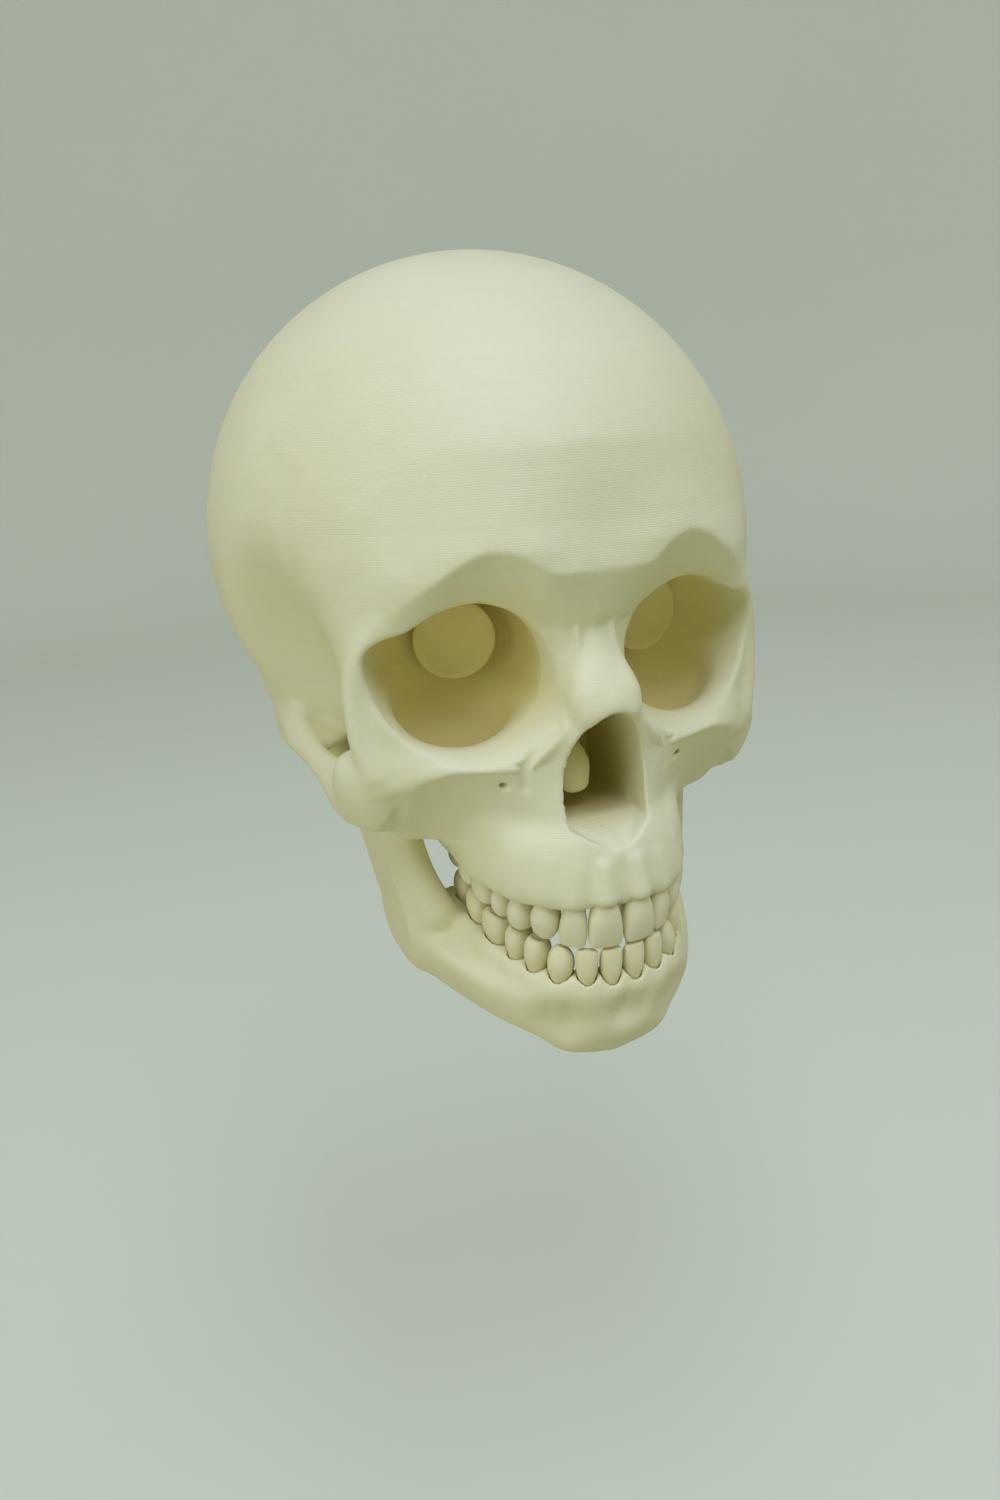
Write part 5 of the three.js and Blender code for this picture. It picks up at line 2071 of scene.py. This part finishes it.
    def base(self, bone: BoneField) -> None:
        """The underside: mastoids, throat, wing plates and the boss round the socket.

        Args:
            bone: The bone to shape.
        """
        wing = ((-47, -6), (-46.5, -28), (-43, -37.5), (-37, -34), (-33, -20), (-33, -6))
        stem = ((17, -34, -14, 5.2), (18.6, -34.6, -28, 4.6), (20.6, -35.6, -39.6, 3.2))
        bone.cut(Ball((44, -31, -21), (20, 22, 13)), 3)
        bone.cut(Ball((0, -41, -29), (15, 11.5, 17)), 4)
        bone.add(Plate(wing, 13, 0.05, -20, 1.8, 1.2), 2)
        bone.add(Stroke(stem, (0.7, 1.6, 1)), 3)
        bone.add(Ball((49.6, 20, -8), (9, 11, 15), (0, -8, 0)), 5)
        bone.cut(Ball((43, 22, -21), (4, 11, 7)), 3)
        bone.add(Drum(0, self.stand[1], 26, -31.5, -8, 1.0), 4)

    def upper_jaw(self, bone: BoneField) -> None:
        """The bone that holds the upper teeth, with the swell of each root.

        Args:
            bone: The bone to shape.
        """
        ridge = (
            (0, -91.2, -21, -38.2, 4.5, -1.5), (9.9, -89.6, -21, -38.2, 4.7, -1.5),
            (16.2, -84.6, -21, -38.1, 4.9, -1.2), (20.3, -76.2, -19, -37.8, 5.2, -0.6),
            (22.4, -66, -16, -37.2, 5.2, -0.2), (22.8, -52, -12, -35.8, 5.4, 0),
            (22.6, -42.5, -14, -33, 5.0, 0),
        )
        bone.add(Band(ridge, 2.8), 5)
        bone.add(Ball((26.4, -47, -26), (5, 8, 8)), 4)
        bone.cut(Ball((0, -52.4, -43.6), (15.7, 33, 9.4)), 2.5)
        self.arch.root_in(bone, UPPER_PLANS, True)

    def eye_socket(self, bone: BoneField) -> None:
        """The eye's hollow, with its soft inner side.

        Args:
            bone: The bone to shape.
        """
        bone.cut(Ball((13.5, -89.5, 21), (5.4, 7, 8.5)), 5)
        bone.cut(self.eye, 1.6)
        bone.cut(Ball((28.5, -65, 7), (13.5, 8.4, 11), (0, 0, 12)), 5)

    def nasal(self, bone: BoneField) -> None:
        """The nose: its bones, opening, sill and spine.

        Args:
            bone: The bone to shape.
        """
        side = (
            (1.2, -84.8, 24, 2.9), (2.6, -86.8, 18.6, 3.8), (3.6, -91, 11.4, 4.9),
            (3.4, -92.4, 8.6, 4.6),
        )
        bone.add(Stroke(side), 1.6)
        bone.add(Stroke(((0, -85, 24, 3), (0, -88, 17, 4.4), (0, -92.4, 9.4, 5))), 1.2)
        seam = ((4.7, -86.4, 30, 0.5), (4.2, -87.4, 25.6, 0.8), (5.4, -88.4, 19.5, 0.5))
        bone.add(Stroke(seam), 0.6)
        bone.cut(self.nose, 0.5)
        bone.cut(Chamfer((-84.4, -19.6), (-94, -24.2), 10), 0.4)
        bone.add(Stroke(((0, -90, -23.8, 1.4), (0, -94.6, -25.2, 0.7))), 1.0)
        bone.cut(Stroke(((0, -98.4, -29, 1.7), (0.3, -99, -36, 1.0))), 1.2)

    def joint_and_ear(self, bone: BoneField) -> None:
        """The jaw joint's hollow, the ear's hole and the hole for the stand's socket.

        Args:
            bone: The bone to shape.
        """
        bone.cut(Ball((48.2, -10.1, -9), (10.9, 5.5, 6.3)), 0.6)
        bone.cut(Ball((46, -11, -18), (15, 10, 8)), 1.2)
        bone.cut(Ball((44.5, -5.5, -13), (7, 4.5, 4.4)), 1)
        bone.cut(Stroke(((80, 2.5, -6, 3.4), (46, 5, -7, 3))), 1.5)
        bone.cut(Drum(*self.stand, self.socket_hole, -60, -0.6, 0.4), 0.5)

    def build(self) -> None:
        """Makes the cranium's mesh, with the one fold that stands on the nose's right side."""
        fold = (
            (-11, -70, 2, 3.4), (-6.4, -75, -2.4, 3.2), (-4.2, -78.6, -7.4, 3.2),
            (-3.6, -79.4, -12.4, 2.4),
        )
        bone = self.field_of_bone().mirrored()
        bone.add(Stroke(fold, (0.65, 1.2, 1)), 0.8)
        made = bone.mesh("printed_cranium")
        # painted shade inside the eye sockets and the nose
        FACE.mark_painted_shade(made)
        settle(made, Body.SKULL, Slot.BONE, self.finish, "cranium")


@dataclass
class Mandible:
    """The lower jaw, one print."""

    arch: DentalArch
    finish: Material
    fine: float = 0.65
    draft: float = 1.3
    # painted shade over the whole jaw, a share of the shade colour
    painted_shade: float = 0.16
    body: Band = Band((
        (0, -84.2, -63.5, -85, 6.2, 4.4), (9, -82.8, -63.2, -83.8, 6.2, 4.8),
        (15, -78.8, -62.6, -82.2, 6.0, 5.4), (19, -73.8, -61.8, -81.4, 6.0, 5.6),
        (23.2, -67, -60.4, -80.4, 6.0, 5.6), (27.4, -58.4, -58, -79, 6.0, 5.2),
        (31.4, -48.4, -55.4, -77.4, 5.7, 4.4), (34.6, -38.4, -53.6, -75, 5.0, 3.2),
        (37, -28, -54, -71, 3.8, 1.6),
    ), 2.3)
    ridge: Band = Band((
        (0, -91.2, -56.2, -76, 4.4, 1.4), (9.5, -89.6, -56.2, -76, 4.6, 1.4),
        (15.6, -84, -56, -76, 4.9, 1.4), (19.8, -75.2, -54.6, -74, 5.2, 1.2),
        (22.8, -65, -52.8, -72, 5.8, 1.2), (25, -52, -51.2, -68, 6.2, 1),
        (27, -41, -49.2, -66, 5.4, 0.4),
    ), 2.8)
    branch: Plate = Plate(
        (
            (-27, -69.4), (-20.4, -62), (-16.6, -54), (-13.8, -45), (-11.2, -35), (-9, -24),
            (-7, -14), (-11.5, -12), (-14.8, -15), (-17.4, -20), (-23, -23.2), (-31, -18.6),
            (-38, -8), (-43, -8.6), (-46.6, -27), (-48.8, -41.4), (-52, -54), (-48, -68),
            (-37, -71.6),
        ),
        38.69, 0.15, -49.5, 3.3, 2.2,
    )

    def field_of_bone(self) -> BoneField:
        """The whole left half as a field.

        Returns:
            The field.
        """
        f = self.fine
        bone = BoneField(graded((0, 60, f)), graded((-103, -3, f)), graded((-92, -2, f)))
        bone.add(self.body, 0)
        bone.add(self.ridge, 5)
        self.chin(bone)
        self.rising(bone)
        self.arch.root_in(bone, LOWER_PLANS, False)
        return bone

    def chin(self, bone: BoneField) -> None:
        """The chin, its two corners, the dents over them and the grooves under the front teeth.

        Args:
            bone: The bone to shape.
        """
        bone.add(Ball((0, -82.2, -75.4), (12, 8, 7.2)), 6)
        bone.add(Ball((9, -83, -76), (6, 4.6, 4)), 5)
        bone.cut(Ball((0, -99.4, -67.5), (6, 6, 4)), 5)
        bone.cut(Ball((17.5, -94.5, -70), (6, 7, 5)), 7)
        for x in (3, 8.8, 14.4):
            groove = ((x, -99.5 + x * 0.12, -62, 1.5), (x, -98 + x * 0.2, -70, 1.0))
            bone.cut(Stroke(groove), 2.2)

    def rising(self, bone: BoneField) -> None:
        """The rising branch, with its neck, its head in the joint and its front edge.

        Args:
            bone: The bone to shape.
        """
        neck = ((41.4, -10.6, -24, 3.5), (44.6, -10.2, -17, 4.1), (47.6, -10.1, -11.5, 4.0))
        front = (
            (38.9, -41, -13, 2.4), (38.4, -47, -27, 3.4), (36.6, -49.6, -40, 4),
            (33.2, -53, -50, 4.4),
        )
        bone.add(self.branch, 5)
        bone.add(Stroke(neck, (0.9, 1, 1)), 3)
        bone.add(Ball((48.2, -10.1, -9.2), (9.6, 4.4, 5.1)), 1.5)
        bone.cut(Ball((28.5, -30, -50), (5, 10, 12)), 4)
        bone.add(Stroke(front), 5)

    def build(self) -> None:
        """Makes the jaw's mesh."""
        made = self.field_of_bone().mirrored().mesh("printed_jaw")
        # painted shade: the jaw gets at least this share of the shade colour
        FACE.mark_painted_shade(made, self.painted_shade)
        settle(made, Body.JAW, Slot.BONE, self.finish, "mandible")


# ---------------------------------------------------------------- fittings


@dataclass
class EyeDiscs:
    """The plain discs at the backs of the eye sockets."""

    finish: Material
    seat: Triple = (24.9, -59.6, 23.3)
    facing: Triple = (0.2044, -0.9709, -0.1262)
    radius: float = 10.0
    thickness: float = 3.0
    bevel: float = 0.5
    rim: float = 1.6
    rim_slope: float = 0.3
    rim_height: float = 0.18
    # painted shade: the discs get nearly the full shade colour, as if in the sockets' shadow
    painted_shade: float = 0.9
    sides: int = 64

    def build(self) -> None:
        """Makes both discs."""
        points, faces = lathe(self.profile(), self.sides)
        for side in Side:
            name = side.name.lower()
            way = Vector((self.facing[0] * side.value, self.facing[1], self.facing[2]))
            turn = Vector((0, 0, 1)).rotation_difference(way).to_matrix()
            placed = points @ np.array(turn).T + np.array(self.seat) * (side.value, 1, 1)
            made = mesh_object(f"eye_disc_{name}", placed, faces)
            # painted shade: nearly the full shade colour on the disc
            FACE.mark_painted_shade(made, self.painted_shade)
            settle(made, Body.SKULL, Slot.BONE, self.finish, f"orbit_plug_{name}")

    def profile(self) -> list[Pair]:
        """A disc's outline, with a rounded edge and a low rim round its face.

        Returns:
            The outline's points, from the middle of the back.
        """
        r, t, b = self.radius, self.thickness, self.bevel
        angles = np.linspace(math.pi / 2, 0, 5)
        arc = [(r - b + b * math.sin(a), t - b + b * math.cos(a)) for a in angles]
        low = t - self.rim_height
        rim = [(r - self.rim, t), (r - self.rim - self.rim_slope, low)]
        return [(0, 0), (r - b * 0.5, 0), (r, b * 0.5), *arc, *rim, (0, low)]


@dataclass(frozen=True)
class FlangeScrew:
    """A countersunk screw's sizes, in millimetres up from the face of its head."""

    head: float = 3.0
    sunk: float = 0.05
    brim: float = 0.25
    neck: Pair = (1.5, 1.75)
    tip: Pair = (0.9, 10.8)
    seat_gap: float = 0.3
    core: float = 1.1
    crest: float = 1.48
    pitch: float = 0.7
    thread_from: float = 1.9
    thread_to: float = 10.6
    length: float = 12.0
    cross_half: float = 1.8
    cross_half_width: float = 0.35
    cross_depth: float = 1.1
    cross_taper: float = 0.55
    cross_turn: float = 0.4

    def profile(self) -> list[Pair]:
        """The screw's own outline: head, thread and tip.

        Returns:
            The outline's points, from the head's middle.
        """
        thread = []
        for z in np.arange(self.thread_from, self.thread_to, self.pitch):
            thread += [(self.core, z), (self.crest, z + self.pitch / 2)]
        head = [(0, self.sunk), (self.head - self.brim, self.sunk), (self.head, self.brim)]
        return [*head, self.neck, *thread, self.tip, (0, self.length)]

    def seat(self) -> list[Pair]:
        """The outline of what is cut from the flange for the screw."""
        wide = self.head + self.seat_gap
        return [(0, -2), (wide, -2), (wide, 0.1), (1.8, 2), (1.8, 6), (0, 6)]

    def slot(self, turn: float) -> Grid:
        """The eight corners of one bar of the driver's cross, narrower at its bottom.

        Args:
            turn: The bar's turn, in radians.

        Returns:
            The corners, the upper four first.
        """
        c, s, u, v = math.cos(turn), math.sin(turn), self.cross_half, self.cross_half_width
        bar = ((-u, -v), (u, -v), (u, v), (-u, v))
        flat = np.array([(a * c - b * s, a * s + b * c) for a, b in bar])
        levels = ((-1, 1.0), (self.cross_depth, self.cross_taper))
        return np.vstack([np.column_stack([flat * share, np.full(4, z)]) for z, share in levels])


@dataclass
class StandSocket:
    """The flanged cup for the stand, and its three screws."""

    finish: Material
    steel: Material
    middle: Pair = (0.0, 11.96)
    mouth: float = -35.0
    bore: float = 8.2
    wall: float = 6.6
    depth: float = 30.0
    cap: float = 4.0
    flange: float = 23.0
    flange_thickness: float = 3.2
    bevel: float = 0.6
    rim: float = 0.5
    fillet: float = 1.0
    lead_in: float = 0.8
    small: float = 0.3
    screw: FlangeScrew = FlangeScrew()
    screw_count: int = 3

    def build(self) -> None:
        """Makes the cup and the screws."""
        points, faces = lathe(self.profile(), 96)
        cup = mesh_object("stand_cup", points + (*self.middle, 0), flipped(faces))
        seat = self.screw.seat()
        carve(cup, [self.turned("cutter", seat, 32, place) for place in self.screw_places()])
        settle(cup, Body.SKULL, Slot.SOCKET, self.finish, "stand_socket")
        for number, place in enumerate(self.screw_places(), 1):
            screw = self.turned(f"flange_screw_{number}", self.screw.profile(), 48, place)
            self.cross(screw, place)
            settle(screw, Body.SKULL, Slot.STEEL, self.steel, f"socket_screw_{number}")

    def profile(self) -> list[Pair]:
        """The cup's outline: closed top, outer wall, flange, and the bore from below.

        Returns:
            The outline's points, from the top's middle.
        """
        m, r, w, b = self.mouth, self.bore, self.bore + self.wall, self.bevel
        end, top = m + self.depth, m + self.depth + self.cap
        shoulder, flange = m + self.flange_thickness, self.flange
        cup = [(0, top), (w - b, top), (w, top - b), (w, shoulder + self.fillet)]
        corner = [(w + self.small, shoulder + self.small), (w + self.fillet, shoulder)]
        upper_rim = [(flange - self.rim, shoulder), (flange, shoulder - self.rim)]
        lower_rim = [(flange, m + b), (flange - b, m)]
        bore = [(r + self.lead_in, m), (r, m + self.lead_in), (r, end - self.small)]
        return [*cup, *corner, *upper_rim, *lower_rim, *bore, (r - self.small, end), (0, end)]

    def screw_places(self) -> Iterator[Pair]:
        """Where the screws stand.

        Returns:
            Each screw's x and y.
        """
        radius = (self.flange + self.bore + self.wall) / 2
        for i in range(self.screw_count):
            turn = 2 * math.pi * i / self.screw_count + math.pi / 2
            yield self.middle[0] + radius * math.cos(turn), self.middle[1] + radius * math.sin(turn)

    def turned(self, name: str, profile: Sequence[Pair], sides: int, place: Pair) -> Object:
        """A turned body that stands on the flange's face at a screw's place."""
        points, faces = lathe(profile, sides)
        return mesh_object(name, points + (*place, self.mouth), flipped(faces))

    def cross(self, screw: Object, place: Pair) -> None:
        """Cuts the driver's cross into a screw's head.

        Args:
            screw: The screw.
            place: Its x and y.
        """
        quads = [[3, 2, 1, 0], [4, 5, 6, 7], [0, 1, 5, 4], [1, 2, 6, 5], [2, 3, 7, 6], [3, 0, 4, 7]]
        for turn in (self.screw.cross_turn, self.screw.cross_turn + math.pi / 2):
            corners = self.screw.slot(turn) + (*place, self.mouth)
            carve(screw, [mesh_object("cutter", corners, quads, False)])


@dataclass
class JawSpring:
    """A coil spring from the skull to the jaw, with the screw eyes that hold it."""

    side: Side
    finish: Material
    ring: float = 2.2
    ring_ends: Pair = (0.28, 0.05)
    wire: float = 0.6
    neck: Pair = (0.6, 2.0)
    shank: float = 7.0
    coil: float = 2.6
    coil_wire: float = 0.45
    pitch: float = 1.4
    turns: int = 12
    turn_steps: int = 28
    hook: float = 1.4
    upper_eye: Triple = (33.58, -30.36, -9.76)
    lower_eye: Triple = (31.735, -28.52, -43.2)

    def build(self) -> None:
        """Makes the eyes and the spring."""
        s, name = self.side.value, self.side.name.lower()
        for where, eye, way, body in (
            ("upper", self.upper_eye, (0, 0, 1), Body.SKULL),
            ("lower", self.lower_eye, (1, 0, 0), Body.JAW),
        ):
            points, faces = self.eye(np.array(way, float))
            placed = (points + eye) * (s, 1, 1)
            sided = faces if s > 0 else flipped(faces)
            made = mesh_object(f"spring_eye_{where}_{name}", placed, sided)
            settle(made, body, Slot.STEEL, self.finish, f"{where}_screw_eye_{name}")
        line = self.line() * (s, 1, 1)
        points, faces = tube(line, self.coil_wire, 10)
        spring = mesh_object(f"coil_spring_{name}", points, faces)
        top, bottom = to_row(line[[0, -1]]).tolist()
        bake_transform(spring, Body.SKULL.value, Body.JAW.value, top, bottom)
        settle(spring, Body.SKULL, Slot.STEEL, self.finish, f"jaw_spring_{name}")

    def eye(self, way: Grid) -> Mesh:
        """A ring bent from the end of its own straight shank.

        Args:
            way: The way in which the shank points.

        Returns:
            The points and the faces.
        """
        r = self.ring
        turn = np.linspace(self.ring_ends[0], 2 * math.pi - self.ring_ends[1], 40)
        side = np.cross([0.0, 1.0, 0.0], way)
        circle = np.outer(np.cos(turn), way) * r + np.outer(np.sin(turn), side) * r
        tail = np.array([way * (r + far) for far in (self.shank, *reversed(self.neck))])
        start = np.array([way * (r * 1.12) + side * 0.25])
        return tube(np.vstack([tail, start, circle]), self.wire, 12)

    def line(self) -> Grid:
        """The spring's middle line: a hook, a lead, the coil, a lead and a hook.

        Returns:
            The line's points.
        """
        top = np.array(self.upper_eye) - (0, 0, self.ring)
        bottom = np.array(self.lower_eye) + (0, 0, self.ring)
        axis = bottom - top
        length = float(np.linalg.norm(axis))
        axis /= length
        forward = np.array([0, 1.0, 0]) - axis * axis[1]
        forward /= np.linalg.norm(forward)
        wound = self.turns * self.pitch
        lead = (length - 2 * self.hook - wound) / 2
        start = self.hook + lead
        bend = np.linspace(0, math.pi, 13)
        out, along = self.hook * np.sin(bend), self.hook * np.cos(bend)
        first = np.stack([-out, -along, 0 * bend], 1)
        last = np.stack([start + wound + lead + self.hook + out, along, 0 * bend], 1)
        turn = np.arange(self.turns * self.turn_steps + 1) / self.turn_steps
        u, v = self.coil * np.cos(2 * np.pi * turn), self.coil * np.sin(2 * np.pi * turn)
        coil = np.stack([start + turn * self.pitch, u, v], 1)
        leads = self.eased(first[-1], coil[0]), self.eased(coil[-1], last[0])
        local = np.vstack([first, leads[0], coil, leads[1], last])
        return top + local @ np.stack([axis, forward, np.cross(axis, forward)])

    @staticmethod
    def eased(a: Grid, b: Grid) -> Grid:
        """Places between two points of a wire, leaving and meeting them along it.

        Args:
            a: The last point of one stretch.
            b: The first point of the next.

        Returns:
            The places between.
        """
        t = np.linspace(0, 1, 9)[1:-1, None]
        out = a + (b - a) * t
        out[:, 1:] = a[1:] + (b[1:] - a[1:]) * (t * t * (3 - 2 * t))
        return out


# ---------------------------------------------------------------- studio


@dataclass(frozen=True)
class SoftLamp:
    """A square lamp that faces the skull, in metres and watts."""

    name: str
    place: Triple
    size: float
    power: float
    colour: Triple

    def build(self) -> None:
        """Hangs the lamp."""
        light = bpy.data.lights.new(self.name, "AREA")
        light.shape, light.size = "SQUARE", self.size
        light.energy, light.color = self.power, self.colour
        lamp = bpy.data.objects.new(self.name, light)
        lamp.location = self.place
        lamp.rotation_euler = (-Vector(self.place)).to_track_quat("-Z", "Y").to_euler()
        bpy.context.scene.collection.objects.link(lamp)


@dataclass
class Studio:
    """A pale round room with soft light from above, in millimetres."""

    floor: float = -340.0
    radius: float = 2700.0
    flat_share: float = 0.4
    cove: float = 700.0
    height: float = 4200.0
    paint: Quad = (0.62, 0.62, 0.41, 1)
    mottle: float = 0.93
    seen_paint: Quad = (0.52, 0.62, 0.56, 1)
    glow: float = 0.27
    sky: float = 0.34
    sky_colour: Quad = (0.92, 1, 1.34, 1)
    lamps: tuple[SoftLamp, ...] = (
        SoftLamp("key", (-0.2, -1.05, 1.95), 1.5, 26.0, (0.92, 1, 1.62)),
        SoftLamp("fill", (1.5, -0.9, 1.3), 1.2, 5.5, (0.92, 1, 1.3)),
        SoftLamp("side", (-1.7, -0.4, 0.25), 1.4, 8.8, (0.94, 1, 1.25)),
    )

    def surface(self) -> Material:
        """A matt paint with a faint mottle, which glows a little in the camera's eye only.

        Returns:
            The new material.
        """
        bench = NodeBench("studio_paint")
        darker = (*(c * self.mottle for c in self.paint[:3]), 1)
        seen = bench.node("LightPath").outputs["Is Camera Ray"]
        bench.dress({
            "Base Color": bench.mix(bench.noise(1.3, 3), self.paint, darker),
            "Roughness": 0.9,
            "Specular IOR Level": 0.1,
            "Emission Color": self.seen_paint,
            "Emission Strength": bench.math("MULTIPLY", seen, self.glow),
        })
        return bench.material

    def profile(self) -> list[Pair]:
        """The room's outline: a flat floor, a cove and a wall.

        Returns:
            The outline's points, from the floor's middle.
        """
        f, r, b = self.floor, self.radius, self.cove
        angles = np.linspace(0, math.pi / 2, 10)
        cove = [(r - b + b * math.sin(a), f + b - b * math.cos(a)) for a in angles]
        return [(0, f), (r * self.flat_share, f), *cove, (r, f + self.height)]

    def build(self) -> None:
        """Makes the room, its lamps and its sky."""
        points, faces = lathe(self.profile(), 96)
        room = mesh_object("studio_room", points - EAR_LINE_IN_ROW, faces)
        room.data.materials.append(self.surface())
        room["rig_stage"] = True
        for lamp in self.lamps:
            lamp.build()
        world = bpy.data.worlds.new("studio_sky")
        bpy.context.scene.world = world
        world.use_nodes = True
        background = world.node_tree.nodes["Background"]
        background.inputs["Color"].default_value = self.sky_colour
        background.inputs["Strength"].default_value = self.sky


@dataclass
class PhotoCamera:
    """A camera where the photograph was taken from."""

    eye: Triple = (-0.10357, -0.32243, 0.08004)
    yaw: float = -19.44
    pitch: float = 17.2
    roll: float = -4.3
    lens: float = 26.448
    sensor: float = 36.0

    def build(self) -> None:
        """Makes the camera the scene's own."""
        a, e, r = (math.radians(v) for v in (self.yaw, self.pitch, self.roll))
        back = Vector((math.sin(a) * math.cos(e), -math.cos(a) * math.cos(e), math.sin(e)))
        right = Vector((math.cos(a), math.sin(a), 0))
        up = back.cross(right)
        across = right * math.cos(r) + up * math.sin(r)
        over = up * math.cos(r) - right * math.sin(r)
        turn = Matrix((across, over, back)).transposed().to_4x4()
        data = bpy.data.cameras.new("photo_camera")
        data.lens, data.sensor_width = self.lens, self.sensor
        camera = bpy.data.objects.new("photo_camera", data)
        camera.matrix_world = Matrix.Translation(self.eye) @ turn
        bpy.context.scene.collection.objects.link(camera)
        bpy.context.scene.camera = camera


def save_sizes() -> None:
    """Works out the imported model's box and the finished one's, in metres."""
    boxes = [[list(map(float, corner)) for corner in box] for box in (CAD_BOX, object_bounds())]


def main() -> None:
    """Builds the skull piece by piece, then the studio round it."""
    logging.basicConfig(level=logging.INFO, format="%(message)s", stream=sys.stdout)
    bpy.context.scene.view_settings.view_transform = "Standard"
    finishes = Finishes.make()
    arch = DentalArch()
    Cranium(arch, finishes.bone).build()
    Mandible(arch, finishes.bone).build()
    Dentition(arch, finishes.tooth).build()
    EyeDiscs(finishes.bone).build()
    StandSocket(finishes.socket, finishes.steel).build()
    for side in Side:
        JawSpring(side, finishes.steel).build()
    Studio().build()
    PhotoCamera().build()
    save_sizes()


if __name__ == "__main__":
    main()
